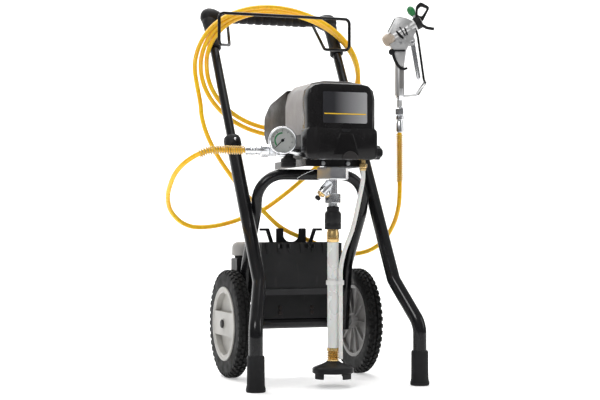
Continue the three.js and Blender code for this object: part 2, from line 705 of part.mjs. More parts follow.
function hoseRun(points, steps, from = 0, to = 1) {
  const line = hoseLine(points);
  const stops = [];
  for (let i = 0; i <= steps; i += 1) stops.push(line.getPointAt(from + ((to - from) * i) / steps));
  return rod(stops, HOSE_R, HOSE_SIDES);
}

// The closed outer shape of the hanging coil: its strands lie side by side across the loop.
function hoseCoil() {
  const steps = 36;
  const sides = 8;
  const at = [];
  const index = [];
  for (let i = 0; i < steps; i += 1) {
    const a = (i / steps) * TAU;
    const [c, s] = [Math.cos(a), Math.sin(a)];
    const z = COIL_Z + COIL_HALF_HEIGHT * s;
    const depth = 95 + 64 * ((z - COIL_Z + COIL_HALF_HEIGHT) / (2 * COIL_HALF_HEIGHT)) ** 3;
    const wide = 10 + 10 * Math.max(0, -c) + 3 * Math.max(0, -s);
    const thick = 7 + 11 * Math.max(0, c) + 7 * Math.max(0, s) ** 2;
    const inset = -7 * Math.max(0, -s);
    for (let k = 0; k < sides; k += 1) {
      const b = (k / sides) * TAU;
      const reach = wide * Math.cos(b) + inset;
      at.push(COIL_HALF_WIDTH * c + reach * c, depth + thick * Math.sin(b), z + reach * s);
      const [j, m] = [(i + 1) % steps, (k + 1) % sides];
      index.push(i * sides + k, j * sides + k, j * sides + m);
      index.push(i * sides + k, j * sides + m, i * sides + m);
    }
  }
  const geometry = new THREE.BufferGeometry();
  geometry.setAttribute('position', new THREE.Float32BufferAttribute(at, 3));
  return geometry.setIndex(index);
}

function gunHoseFitting() {
  const bore = HOSE_R + 0.5;
  const ferrule = turned([[0, 583.5], [bore, 583.5], [bore, 466], [10.5, 466], [10.5, 582], [9.5, 584],
    [9.5, 610], [8, 611], [8, 614], [10, 615], [10, 624], [7, 627], [0, 627]],
  V(GUN_X, GUN_Y, 0), UP, 16);
  return join(ferrule, hexagon(19, 17, V(GUN_X, GUN_Y, 626)));
}

// ---- spray gun, drawn in its own plane: across, depth, height ----
const BARREL_DIR = V(Math.cos(rad(BARREL_RISE)), 0, Math.sin(rad(BARREL_RISE)));
const TIP_DIR = V(-BARREL_DIR.z, 0, BARREL_DIR.x);
const barrelAt = (s) => V(0, 0, BARREL_Z).addScaledVector(BARREL_DIR, s);
const TRIGGER_PIVOT = V(31, 0, 802);
const TIP_AT = 52;

function placedGun(made) {
  return solid(toGeometry(made).rotateZ(rad(GUN_TURN)).translate(GUN_X, GUN_Y, 0));
}

function gunBody() {
  const shell = alongY([[-9, 866, 4], [-37, 810, 4], [-24, 794, 4], [-14, 772, 6], [-11, 747], [11, 747],
    [16, 784, 6], [30, 806, 5], [41, 836, 4], [30, 855, 4], [16, 862, 5]], -11, 11, 2);
  const grip = turned([[0, 643.4], [7, 643.4], [7, 668], [10.5, 672], [11.5, 690], [11.5, 742],
    [10, 752], [0, 752]], V(0, 0, 0), UP, 20);
  const barrel = disc(12.5, 63, barrelAt(-19), BARREL_DIR);
  const ears = [-11, 8.8].map((y) => alongY([[15, 812], [23, 796, 4], [34, 793, 6], [39, 806, 5],
    [30, 822]], y, y + 2.2));
  const pin = rod([V(TRIGGER_PIVOT.x, -10, TRIGGER_PIVOT.z), V(TRIGGER_PIVOT.x, 10, TRIGGER_PIVOT.z)],
    2.5, 12);
  const room = block(21, 46, -8.8, 8.8, 788, 811.5);
  const capRoom = disc(16.2, 40, barrelAt(-19), BARREL_DIR.clone().negate(), 20);
  const cap = turned([[0, -3], [12.5, -3], [15, 4], [15.5, 12], [13, 20], [8, 24.5], [0, 26]],
    barrelAt(-19), BARREL_DIR.clone().negate(), 20);
  const guard = rod(bent([V(40, 0, 836), V(45, 0, 815), V(59, 0, 713), V(63, 0, 703), V(40, 0, 675),
    V(8, 0, 672)], 5, 2), 2.9, 8);
  return placedGun(join(cut(join(shell, grip, barrel), capRoom, room), ...ears, pin, cap, guard));
}

function gunTrigger() {
  const lever = alongY([[24, 808, 4], [37, 808, 4], [39, 790, 8], [51, 717, 2], [47, 711, 2],
    [41, 714, 2], [28, 785, 8]], -8, 8, 1.2);
  const hole = rod([V(TRIGGER_PIVOT.x, -20, TRIGGER_PIVOT.z), V(TRIGGER_PIVOT.x, 20, TRIGGER_PIVOT.z)],
    2.9, 12);
  return placedGun(cut(lever, hole));
}

const LOCK_PIVOT = V(-20, -12, 778);

function gunTriggerLock() {
  const knob = disc(7.5, 6.5, LOCK_PIVOT.clone().setY(-11.7), V(0, -1, 0), 16);
  const bar = alongY([[-18, 783.5], [-18, 779.5], [12.5, 779.5], [12.5, 783.5]], -15.6, -11.7);
  const hook = alongY([[-21, 774], [-15, 757], [-8, 744], [1, 735.5], [10, 733.5], [19, 737, 2],
    [18, 742, 2], [10, 739.5], [3, 742], [-3, 749], [-9, 760], [-14, 774]], -15.6, -11.7);
  return placedGun(join(knob, bar, hook));
}

function gunTipGuard() {
  const collarRing = turned([[9, 0.4], [15, 0.4], [16, 3], [16, 13], [13, 15.6], [9, 15.6], [9, 0.4]],
    barrelAt(44), BARREL_DIR, 20);
  const loop = cut(
    alongY([[39, 857, 2], [39.5, 892, 7], [51, 901.5, 5], [74, 889, 7], [57, 855, 2]], -4.5, 4.5),
    alongY([[44, 869, 3], [44.5, 884, 5], [52, 891, 4], [67, 886, 4], [54, 866, 3]], -10, 10),
  );
  const finger = rod([V(54, 0, 846), V(66, 0, 839), V(84, 0, 836)], 3.8, 10);
  const tipBore = disc(5.4, 60, barrelAt(TIP_AT).addScaledVector(TIP_DIR, -30), TIP_DIR, 16);
  const throat = disc(9, 15.2, barrelAt(44.4), BARREL_DIR, 20);
  return placedGun(cut(join(collarRing, loop, finger), throat, tipBore));
}

function gunSprayTip() {
  const barrel = disc(5, 36, barrelAt(TIP_AT).addScaledVector(TIP_DIR, -14), TIP_DIR, 16);
  const tab = turned([[0, 0], [5, 0.5], [9, 9], [9.5, 13], [8, 21], [4, 25], [0, 26]],
    barrelAt(TIP_AT).addScaledVector(TIP_DIR, 20), TIP_DIR, 16);
  return placedGun(join(barrel, tab));
}

// ---- assembly ----
const PAINT = {
  frame: 0x131316,
  rubber: 0x1c1c1e,
  grey: 0xb9b6ae,
  darkGrey: 0x4a4a4d,
  shroud: 0x969190,
  brown: 0x2c2522,
  chrome: 0xc9ccd0,
  brass: 0xb48a45,
  milky: 0xd8d6cc,
  white: 0xe9e9e6,
  yellow: 0xf2b822,
  green: 0x2f9a4a,
  black: 0x17171a,
};

const group = new THREE.Group();

function node(name, made, colour, metalness = 0.1) {
  const material = new THREE.MeshStandardMaterial({ color: colour, metalness, roughness: 0.5 });
  const geometry = toGeometry(made).translate(-CENTRE_X, -CENTRE_Y, 0);
  const mesh = new THREE.Mesh(geometry, material);
  mesh.name = name;
  group.add(mesh);
}

for (const [tag, side] of [['left', -1], ['right', 1]]) {
  node(`main_tube_${tag}`, mainTube(side), PAINT.frame, 0.6);
  node(`foot_${tag}`, foot(side), PAINT.rubber);
  node(`collar_${tag}`, collar(side), PAINT.black);
  node(`lock_button_${tag}`, lockButton(side), PAINT.chrome, 0.9);
  node(`inner_tube_${tag}`, innerTube(side), PAINT.frame, 0.6);
  node(`tyre_${tag}`, tyre(side), PAINT.rubber);
  node(`rim_${tag}`, rim(side), PAINT.grey);
}
node('support_frame', supportFrame(), PAINT.frame, 0.6);
node('axle_beam', axleBeam(), PAINT.frame, 0.6);
node('axle_shaft', axleShaft(), PAINT.chrome, 0.9);
node('handle_grip', handleGrip(), PAINT.rubber);
node('hose_hanger', hoseHanger(), PAINT.frame, 0.6);
node('tool_tray', toolTray(), PAINT.darkGrey);
node('tray_back_plate', trayBackPlate(), PAINT.black);
node('tray_bracket', trayBracket(), PAINT.black);
node('oil_bottle', oilBottle(), PAINT.grey);
node('base_plate', basePlate(), PAINT.black, 0.5);
node('front_cover', frontCover(), PAINT.black);
node('label_plate', labelPlate(), PAINT.darkGrey);
node('shroud', shroud(), PAINT.shroud);
node('rear_cover', rearCover(), PAINT.brown);
node('drive_housing', driveHousing(), PAINT.grey, 0.7);
node('crankshaft', crankshaft(), PAINT.chrome, 0.9);
node('motor_stator', motorStator(), PAINT.darkGrey, 0.6);
node('motor_rotor', motorRotor(), PAINT.chrome, 0.8);
node('piston', piston(), PAINT.chrome, 0.9);
node('pump_head', pumpHead(), PAINT.chrome, 0.9);
node('inlet_valve', inletValve(), PAINT.chrome, 0.9);
node('inlet_pusher', inletPusher(), PAINT.black);
node('suction_coupling', suctionCoupling(), PAINT.black);
node('suction_tube', suctionTube(), PAINT.milky);
node('strainer', strainer(), PAINT.black);
node('outlet_manifold', outletManifold(), PAINT.chrome, 0.9);
node('gauge_case', gaugeCase(), PAINT.chrome, 0.9);
node('gauge_needle', gaugeNeedle(), PAINT.black);
node('control_knob', controlKnob(), PAINT.black);
node('return_fitting', returnFitting(), PAINT.brass, 0.9);
node('return_tube', returnTube(), PAINT.white);
node('tube_clip', tubeClip(), PAINT.white);
node('hose_fitting_outlet', outletHoseFitting(), PAINT.chrome, 0.9);
node('hose_run_outlet', hoseRun([...HOSE_OUT, ...HOSE_RISE.slice(1)], 28, 0, 0.7), PAINT.yellow);
node('hose_rise', hoseRun([...HOSE_OUT, ...HOSE_RISE.slice(1)], 11, 0.7004, 1), PAINT.yellow);
node('hose_coil', hoseCoil(), PAINT.yellow);
node('hose_drop', hoseRun([...HOSE_DROP, ...HOSE_GUN.slice(1)], 11, 0, 0.29), PAINT.yellow);
node('hose_run_gun', hoseRun([...HOSE_DROP, ...HOSE_GUN.slice(1)], 26, 0.2904, 1), PAINT.yellow);
node('hose_fitting_gun', gunHoseFitting(), PAINT.chrome, 0.9);
node('gun_body', gunBody(), PAINT.grey, 0.7);
node('gun_trigger', gunTrigger(), PAINT.chrome, 0.9);
node('gun_trigger_lock', gunTriggerLock(), PAINT.black);
node('gun_tip_guard', gunTipGuard(), PAINT.black);
node('gun_spray_tip', gunSprayTip(), PAINT.green);

export default group;
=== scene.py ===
import json
import math

import bmesh
import bpy
from mathutils import Matrix, Quaternion, Vector

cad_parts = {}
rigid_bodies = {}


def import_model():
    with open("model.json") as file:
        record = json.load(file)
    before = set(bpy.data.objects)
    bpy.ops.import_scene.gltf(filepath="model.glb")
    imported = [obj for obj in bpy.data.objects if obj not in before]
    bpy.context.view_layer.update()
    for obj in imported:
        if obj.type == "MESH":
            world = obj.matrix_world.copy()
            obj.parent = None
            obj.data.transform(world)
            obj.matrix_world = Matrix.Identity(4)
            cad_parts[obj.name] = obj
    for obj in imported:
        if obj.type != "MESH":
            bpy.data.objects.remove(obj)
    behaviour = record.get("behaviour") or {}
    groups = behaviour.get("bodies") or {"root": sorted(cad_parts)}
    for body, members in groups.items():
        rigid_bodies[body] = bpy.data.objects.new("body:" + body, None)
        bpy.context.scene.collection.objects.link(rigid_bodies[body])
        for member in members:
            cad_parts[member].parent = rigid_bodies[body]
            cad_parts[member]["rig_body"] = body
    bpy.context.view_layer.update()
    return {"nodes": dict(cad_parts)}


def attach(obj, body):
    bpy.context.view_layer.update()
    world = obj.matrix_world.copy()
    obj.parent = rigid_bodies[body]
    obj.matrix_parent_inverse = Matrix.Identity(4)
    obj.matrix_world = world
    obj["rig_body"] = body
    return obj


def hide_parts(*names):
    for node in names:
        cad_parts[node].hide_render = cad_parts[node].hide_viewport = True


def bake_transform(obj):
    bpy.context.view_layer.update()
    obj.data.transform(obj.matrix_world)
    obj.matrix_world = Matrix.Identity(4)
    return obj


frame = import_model()
NODES = frame["nodes"]

# ---- the cart's own frame: millimetres from the floor under the middle of the axle ----
CENTRE = Vector((60.96, -49.35, 0))


def P(x, y, z):
    return (Vector((x, y, z)) - CENTRE) / 1000


X, Y, Z = Vector((1, 0, 0)), Vector((0, 1, 0)), Vector((0, 0, 1))
BOX_FACES = ((0, 1, 3, 2), (4, 6, 7, 5), (0, 4, 5, 1), (2, 3, 7, 6), (1, 5, 7, 3), (0, 2, 6, 4))

# ---- places shared by several pieces, in the cart's own frame ----
FOOT_X, FOOT_Y = 193, -292
WHEEL_X, AXLE_Z = 161, 127
GRIP_Z = 878
BOTTLE_AT = (-124.5, 32, 182)
PUMP_Y = -252
OUTLET_Y, OUTLET_Z, GAUGE_X, GAUGE_Z = -246, 522, -119, 543
RETURN_X, RETURN_Y = 57, -290
GUN_AT = Vector((256, -40, 0))
BARREL_Z, BARREL_RISE, VIEW_TURN = 825, 30, -19.8
LEAN = 0.642
RAIL = Vector((0, LEAN, 1)).normalized()
RAIL_FRONT = Vector((0, -1, LEAN)).normalized()


def rail(side, z):
    return Vector((side * 161, -220 + (z - 234) * LEAN, z))


# ---- camera ----
cam_data = bpy.data.cameras.new("camera")
cam = bpy.data.objects.new("camera", cam_data)
bpy.context.scene.collection.objects.link(cam)
cam_data.lens = 84
cam_data.sensor_width = 36
cam_data.clip_end = 50
cam.location = P(-1124, -3158, 359)
cam.rotation_euler = (math.radians(90 + 1.02), 0, math.radians(VIEW_TURN))
bpy.context.scene.camera = cam

# ---- materials ----


def nodes_of(name):
    m = bpy.data.materials.new(name)
    m.use_nodes = True
    tree = m.node_tree
    shader = next(n for n in tree.nodes if n.type == "BSDF_PRINCIPLED")
    return m, tree, shader


def noise(tree, scale, detail=3.0, stretch=(1, 1, 1)):
    coord = tree.nodes.new("ShaderNodeTexCoord")
    mapping = tree.nodes.new("ShaderNodeMapping")
    mapping.inputs["Scale"].default_value = stretch
    tex = tree.nodes.new("ShaderNodeTexNoise")
    tex.inputs["Scale"].default_value = scale
    tex.inputs["Detail"].default_value = detail
    tree.links.new(coord.outputs["Object"], mapping.inputs["Vector"])
    tree.links.new(mapping.outputs["Vector"], tex.inputs["Vector"])
    return tex.outputs["Fac"]


def ramp(tree, fac, low, high, a, b):
    r = tree.nodes.new("ShaderNodeValToRGB")
    r.color_ramp.elements[0].position = low
    r.color_ramp.elements[1].position = high
    r.color_ramp.elements[0].color = (*a, 1)
    r.color_ramp.elements[1].color = (*b, 1)
    tree.links.new(fac, r.inputs["Fac"])
    return r.outputs["Color"]


def spread(tree, fac, low, high):
    r = tree.nodes.new("ShaderNodeMapRange")
    r.inputs["From Min"].default_value = 0.3
    r.inputs["From Max"].default_value = 0.7
    r.inputs["To Min"].default_value = low
    r.inputs["To Max"].default_value = high
    tree.links.new(fac, r.inputs["Value"])
    return r.outputs["Result"]


def finish(name, colour, rough, metal=0.0, coat=0.0, vary=0.12, grain=900, bump=0.1, patch=14,
           scuff=0.0, stretch=(1, 1, 1)):
    """A painted, moulded or plated surface: patchy tone, uneven polish, fine grain and faint scuffs."""
    m, tree, shader = nodes_of(name)
    darker = tuple(c * (1 - vary) for c in colour)
    lighter = tuple(min(1, c * (1 + vary) + 0.004) for c in colour)
    tone = ramp(tree, noise(tree, patch, 5), 0.35, 0.7, darker, lighter)
    if scuff > 0:
        worn = tree.nodes.new("ShaderNodeMix")
        worn.data_type = "RGBA"
        mask = ramp(tree, noise(tree, 60, 8, (1, 1, 0.3)), 0.62, 0.72, (0, 0, 0), (scuff,) * 3)
        tree.links.new(mask, worn.inputs["Factor"])
        tree.links.new(tone, worn.inputs["A"])
        worn.inputs["B"].default_value = (*(min(1, c * 1.6 + 0.05) for c in colour), 1)
        tone = worn.outputs["Result"]
    tree.links.new(tone, shader.inputs["Base Color"])
    tree.links.new(spread(tree, noise(tree, patch * 3, 6), rough * 0.8, min(1, rough * 1.25)),
                   shader.inputs["Roughness"])
    shader.inputs["Metallic"].default_value = metal
    if max(colour) < 0.05:
        shader.inputs["Specular IOR Level"].default_value = 0.2
    shader.inputs["Coat Weight"].default_value = coat
    shader.inputs["Coat Roughness"].default_value = 0.08
    b = tree.nodes.new("ShaderNodeBump")
    b.inputs["Strength"].default_value = bump
    b.inputs["Distance"].default_value = 0.0004
    tree.links.new(noise(tree, grain, 2, stretch), b.inputs["Height"])
    tree.links.new(b.outputs["Normal"], shader.inputs["Normal"])
    return m


FRAME_PAINT = finish("frame_paint", (0.006, 0.006, 0.007), 0.2, coat=0.25, bump=0.03, grain=420, scuff=0.04)
SATIN_BLACK = finish("satin_black", (0.01, 0.01, 0.011), 0.4, bump=0.15, scuff=0.15)
COVER_BLACK = finish("cover_black", (0.007, 0.0065, 0.007), 0.22, coat=0.25, bump=0.05, scuff=0.08)
PLASTIC_BLACK = finish("plastic_black", (0.011, 0.011, 0.012), 0.42, bump=0.25, grain=1400)
GRIP_RUBBER = finish("grip_rubber", (0.011, 0.011, 0.012), 0.5, bump=0.5, grain=1100, scuff=0.1)
FOOT_RUBBER = finish("foot_rubber", (0.01, 0.01, 0.011), 0.6, bump=0.4, grain=800, scuff=0.1)
TYRE_RUBBER = finish("tyre_rubber", (0.009, 0.009, 0.009), 0.68, bump=0.5, grain=700, scuff=0.1)
CHROME = finish("chrome", (0.8, 0.81, 0.83), 0.2, metal=1, bump=0.04, vary=0.05)
STEEL = finish("steel", (0.56, 0.57, 0.58), 0.28, metal=1, bump=0.2, stretch=(1, 1, 9))
ALUMINIUM = finish("aluminium", (0.6, 0.6, 0.6), 0.36, metal=0.8, bump=0.35, grain=1300)
BRASS = finish("brass", (0.8, 0.56, 0.24), 0.26, metal=1, bump=0.1)
RIM_GREY = finish("rim_grey", (0.42, 0.41, 0.385), 0.48, bump=0.25, scuff=0.12)
RIM_SHADE = finish("rim_shade", (0.2, 0.195, 0.19), 0.55, bump=0.25)
SHROUD_GREY = finish("shroud_grey", (0.24, 0.225, 0.22), 0.4, bump=0.35, grain=1500)
SHROUD_DARK = finish("shroud_dark", (0.032, 0.03, 0.03), 0.45, bump=0.35, grain=1500)
MOTOR_BROWN = finish("motor_brown", (0.015, 0.011, 0.009), 0.42, bump=0.35, grain=1300)
TRAY_DARK = finish("tray_dark", (0.016, 0.016, 0.017), 0.45, bump=0.4, grain=1300, scuff=0.15)
TRAY_LIP = finish("tray_lip", (0.034, 0.034, 0.036), 0.45, bump=0.3)
DOME_GREY = finish("dome_grey", (0.4, 0.39, 0.38), 0.45, bump=0.3)
WHITE = finish("white_plastic", (0.7, 0.7, 0.68), 0.35, bump=0.1, vary=0.04)
TAN = finish("tan_plastic", (0.46, 0.38, 0.3), 0.4, bump=0.2)
GREEN = finish("green_plastic", (0.012, 0.2, 0.05), 0.35, bump=0.2)
DIAL_WHITE = finish("dial_white", (0.82, 0.83, 0.8), 0.5, bump=0.03, vary=0.03)
DIAL_GREEN = finish("dial_green", (0.05, 0.35, 0.12), 0.5, bump=0.03)
YELLOW = finish("label_yellow", (0.8, 0.5, 0.02), 0.4, bump=0.03)


def hose_material():
    m, tree, shader = nodes_of("hose_yellow")
    tone = ramp(tree, noise(tree, 25, 4), 0.3, 0.75, (0.97, 0.48, 0.006), (1.0, 0.66, 0.014))
    grime = tree.nodes.new("ShaderNodeMix")
    grime.data_type = "RGBA"
    tree.links.new(ramp(tree, noise(tree, 90, 8), 0.62, 0.78, (0, 0, 0), (0.35,) * 3),
                   grime.inputs["Factor"])
    tree.links.new(tone, grime.inputs["A"])
    grime.inputs["B"].default_value = (0.5, 0.25, 0.04, 1)
    tree.links.new(grime.outputs["Result"], shader.inputs["Base Color"])
    tree.links.new(spread(tree, noise(tree, 120, 4), 0.24, 0.4), shader.inputs["Roughness"])
    shader.inputs["Subsurface Weight"].default_value = 0.04
    shader.inputs["Subsurface Scale"].default_value = 0.004
    b = tree.nodes.new("ShaderNodeBump")
    b.inputs["Strength"].default_value = 0.12
    b.inputs["Distance"].default_value = 0.0004
    tree.links.new(noise(tree, 700, 3), b.inputs["Height"])
    tree.links.new(b.outputs["Normal"], shader.inputs["Normal"])
    return m


HOSE = hose_material()


def milky(name, colour, through):
    m = finish(name, colour, 0.28, bump=0.02, vary=0.02, patch=8, grain=300)
    shader = next(n for n in m.node_tree.nodes if n.type == "BSDF_PRINCIPLED")
    shader.inputs["Transmission Weight"].default_value = through
    shader.inputs["Subsurface Weight"].default_value = 0.2
    shader.inputs["Subsurface Scale"].default_value = 0.006
    return m


TUBE_MILKY = milky("tube_milky", (0.85, 0.85, 0.83), 0.2)
TUBE_WHITE = milky("tube_white", (0.8, 0.8, 0.77), 0.1)
GUARD_WIRE = finish("guard_wire", (0.62, 0.42, 0.13), 0.3, metal=0.7, bump=0.1)
GLASS = finish("gauge_glass", (0.95, 0.97, 0.97), 0.03, bump=0.01)
next(n for n in GLASS.node_tree.nodes if n.type == "BSDF_PRINCIPLED").inputs[
    "Transmission Weight"].default_value = 1.0


def label_material():
    """A dark panel that lightens to silver towards the right, with a brushed grain."""
    m, tree, shader = nodes_of("label_panel")
    coord = tree.nodes.new("ShaderNodeTexCoord")
    split = tree.nodes.new("ShaderNodeSeparateXYZ")
    tree.links.new(coord.outputs["Object"], split.inputs["Vector"])
    across = tree.nodes.new("ShaderNodeMapRange")
    across.inputs["From Min"].default_value = P(-46, 0, 0).x
    across.inputs["From Max"].default_value = P(58, 0, 0).x
    tree.links.new(split.outputs["X"], across.inputs["Value"])
    tone = ramp(tree, across.outputs["Result"], 0.25, 0.95, (0.03, 0.03, 0.035), (0.42, 0.42, 0.43))
    tree.links.new(tone, shader.inputs["Base Color"])
    tree.links.new(spread(tree, noise(tree, 300, 4, (1, 1, 8)), 0.28, 0.42), shader.inputs["Roughness"])
    shader.inputs["Metallic"].default_value = 0.35
    return m


LABEL = label_material()

# ---- mesh helpers ----


def make(name, verts, faces, material, body, replaces=(), slot=None, smooth=35):
    mesh = bpy.data.meshes.new(name)
    mesh.from_pydata([tuple(v) for v in verts], [], faces)
    obj = bpy.data.objects.new(name, mesh)
    bpy.context.scene.collection.objects.link(obj)
    bm = bmesh.new()
    bm.from_mesh(mesh)
    bmesh.ops.remove_doubles(bm, verts=bm.verts, dist=1e-6)
    bmesh.ops.recalc_face_normals(bm, faces=bm.faces)
    for f in bm.faces:
        f.smooth = True
    for e in bm.edges:
        if len(e.link_faces) == 2 and e.calc_face_angle(0) > math.radians(smooth):
            e.smooth = False
    bm.to_mesh(mesh)
    bm.free()
    mesh.materials.append(material)
    if body:
        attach(obj, body)
    if replaces:
        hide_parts(*([replaces] if isinstance(replaces, str) else replaces))
    return obj


def turned(name, profile, at, direction, material, body, sides=48, **kw):
    """A turned piece from [radius, height] pairs, closed on its axis or on itself."""
    turn = Z.rotation_difference(Vector(direction).normalized())
    base = Vector(at)
    verts, faces = [], []
    for r, h in profile:
        for k in range(sides):
            a = 2 * math.pi * k / sides
            verts.append(P(*(base + turn @ Vector((r * math.cos(a), r * math.sin(a), h)))))
    for i in range(len(profile) - 1):
        for k in range(sides):
            m = (k + 1) % sides
            a, b = i * sides, (i + 1) * sides
            ring = [a + k, a + m, b + m, b + k]
            if profile[i][0] == 0:
                ring = [a, b + m, b + k]
            elif profile[i + 1][0] == 0:
                ring = [a + k, a + m, b]
            if profile[i][0] == 0 and profile[i + 1][0] == 0:
                continue
            faces.append(ring)
    return make(name, verts, faces, material, body, **kw)


def hexagon(name, flats, height, at, direction, material, body, **kw):
    r = flats / math.sqrt(3)
    c = min(1.2, flats * 0.06)
    return turned(name, [[0, 0], [r - c, 0], [r, c], [r, height - c], [r - c, height], [0, height]], at,
                  direction, material, body, sides=6, smooth=20, **kw)


def bent(corners, radius, parts=10):
    points = [Vector(corners[0])]
    for i in range(1, len(corners) - 1):
        here = Vector(corners[i])
        into = (here - Vector(corners[i - 1])).normalized()
        out = (Vector(corners[i + 1]) - here).normalized()
        angle = into.angle(out)
        centre = here + (out - into).normalized() * radius / math.cos(angle / 2)
        start = here - into * radius * math.tan(angle / 2) - centre
        axis = into.cross(out).normalized()
        for k in range(parts + 1):
            points.append(Quaternion(axis, angle * k / parts) @ start + centre)
    points.append(Vector(corners[-1]))
    return points


def tangents(points):
    out = []
    for i in range(len(points)):
        t = Vector()
        if i:
            t += (points[i] - points[i - 1]).normalized()
        if i < len(points) - 1:
            t += (points[i + 1] - points[i]).normalized()
        out.append(t.normalized())
    return out


def frames(points):
    """A normal at each point that turns as little as it can."""
    ts = tangents(points)
    n = ts[0].orthogonal().normalized()
    out = []
    for i, t in enumerate(ts):
        if i:
            n = ts[i - 1].rotation_difference(t) @ n
            n = (n - t * n.dot(t)).normalized()
        out.append((t, n, t.cross(n)))
    return out


def tube(name, points, radius, material, body, sides=24, **kw):
    fs = frames(points)
    verts, faces = [], []
    for i, p in enumerate(points):
        r = radius(i) if callable(radius) else radius
        for k in range(sides):
            a = 2 * math.pi * k / sides
            verts.append(P(*(p + (fs[i][1] * math.cos(a) + fs[i][2] * math.sin(a)) * r)))
    for i in range(len(points) - 1):
        for k in range(sides):
            m = (k + 1) % sides
            faces.append([i * sides + k, i * sides + m, (i + 1) * sides + m, (i + 1) * sides + k])
    last = (len(points) - 1) * sides
    faces.append(list(range(sides))[::-1])
    faces.append([last + k for k in range(sides)])
    return make(name, verts, faces, material, body, **kw)


def spring(name, points, radius, wire, pitch, material, body, **kw):
    """A wire wound round a path."""
    fs = frames(points)
    run = [0.0]
    for i in range(1, len(points)):
        run.append(run[-1] + (points[i] - points[i - 1]).length)
    steps = int(run[-1] / pitch * 14)
    line = []
    j = 0
    for s in range(steps + 1):
        d = run[-1] * s / steps
        while j < len(run) - 2 and run[j + 1] < d:
            j += 1
        f = (d - run[j]) / max(1e-9, run[j + 1] - run[j])
        p = points[j].lerp(points[j + 1], f)
        n = fs[j][1].lerp(fs[j + 1][1], f)
        b = fs[j][2].lerp(fs[j + 1][2], f)
        a = 2 * math.pi * d / pitch
        line.append(p + (n * math.cos(a) + b * math.sin(a)) * radius)
    return tube(name, line, wire, material, body, sides=7, **kw)


def slab(name, outline, depth_axis, low, high, material, body, bevel=1.0, at=None, turn=None, **kw):
    """An outline in X and Z given thickness along Y, or in Y and Z along X."""
    verts, faces = [], []
    for d in (low, high):
        for a, b in outline:
            v = Vector((a, d, b)) if depth_axis == "y" else Vector((d, a, b))
            verts.append(P(*(v if turn is None else turn(v))))
    n = len(outline)
    faces.append(list(range(n)))
    faces.append([n + i for i in range(n)][::-1])
    for i in range(n):
        j = (i + 1) % n
        faces.append([i, j, n + j, n + i])
    obj = make(name, verts, faces, material, body, **kw)
    rounded(obj, bevel)
    return obj


def rounded(obj, width, segments=3, angle=30):
    if width <= 0:
        return obj
    m = obj.modifiers.new("edges", "BEVEL")
    m.width = width / 1000
    m.segments = segments
    m.limit_method = "ANGLE"
    m.angle_limit = math.radians(angle)
    m.harden_normals = False
    m.use_clamp_overlap = True
    return obj


def refined(node, material, bevel=0.8, smooth=32, name=None, picks=()):
    """The CAD node's own shape with its edges eased, standing for the node."""
    source = NODES[node]
    body = source["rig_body"]
    mesh = source.data.copy()
    obj = bpy.data.objects.new(name or f"{node}_skin", mesh)
    bpy.context.scene.collection.objects.link(obj)
    mesh.materials.clear()
    mesh.materials.append(material)
    for other, _ in picks:
        mesh.materials.append(other)
    bm = bmesh.new()
    bm.from_mesh(mesh)
    bmesh.ops.remove_doubles(bm, verts=bm.verts, dist=2e-6)
    bmesh.ops.dissolve_limit(bm, angle_limit=math.radians(1.0), verts=bm.verts, edges=bm.edges)
    for f in bm.faces:
        f.smooth = True
        f.material_index = 0
        at = (f.calc_center_median() * 1000) + CENTRE
        for i, (_, test) in enumerate(picks):
            if test(at, f.normal):
                f.material_index = i + 1
    for e in bm.edges:
        if len(e.link_faces) == 2 and e.calc_face_angle(0) > math.radians(smooth):
            e.smooth = False
    bm.to_mesh(mesh)
    bm.free()
    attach(obj, body)
    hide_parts(node)
    return rounded(obj, bevel, 2, 40)


# ---- the hose, end to end, as it lies ----
LEAVES = [(-205.3, -246, 522), (-235, -246, 522), (-265, -246, 522), (-300, -240, 515),
          (-328, -215, 496), (-341, -180, 474), (-342, -135, 448), (-337, -95, 424), (-320, -50, 394),
          (-288, -14, 368), (-250, 14, 355), (-201, 38, 355), (-146, 54, 365), (-100, 64, 380),
          (-57, 70, 396), (-3, 68, 433), (40, 68, 467), (88, 70, 508), (132, 76, 552), (166, 84, 592),
          (192, 93, 622), (206, 101, 650)]
RETURNS = [(-206, 101, 650), (-203, 100, 620), (-192, 97, 580), (-172, 91, 536), (-146, 81, 492),
           (-112, 67, 444), (-66, 54, 396), (-30, 44, 360), (-3, 42, 343), (50, 44, 322),
           (110, 46, 298), (160, 40, 288), (200, 22, 296), (228, -2, 320), (246, -26, 362),
           (254, -38, 405), (256, -40, 450), (256, -40, 464), (256, -40, 525), (256, -40, 583.2)]


# around the coil: the angle in degrees, then how far out and how far back the hose lies there
COIL_STOPS = [(0, 4.7, 13), (90, -5, 10), (180, -15, 0), (270, -15, 0), (315, -9, 5), (360, 0, 0),
              (630, 0, 0), (675, -1, -5), (720, -4.7, -13), (810, 5, -10), (900, 15, 0)]
COIL_WIDE, COIL_TALL, COIL_Y, COIL_Z = 205, 160, 95, 738


def coil_points():
    """Two and a half turns over the handle: the strands fan out on the left and stack on the right."""
    points = []
    for degree in range(0, 901, 12):
        k = max(i for i, stop in enumerate(COIL_STOPS[:-1]) if stop[0] <= degree)
        (d0, off0, back0), (d1, off1, back1) = COIL_STOPS[k], COIL_STOPS[k + 1]
        f = (degree - d0) / (d1 - d0)
        off = off0 + (off1 - off0) * f
        back = back0 + (back1 - back0) * f
        a = math.radians(degree)
        lean = max(0, (COIL_Z + COIL_TALL * math.sin(a) - 578) / 320)
        points.append(((COIL_WIDE + off) * math.cos(a), COIL_Y + 64 * lean ** 3 + back,
                       COIL_Z + (COIL_TALL + off) * math.sin(a)))
    return points


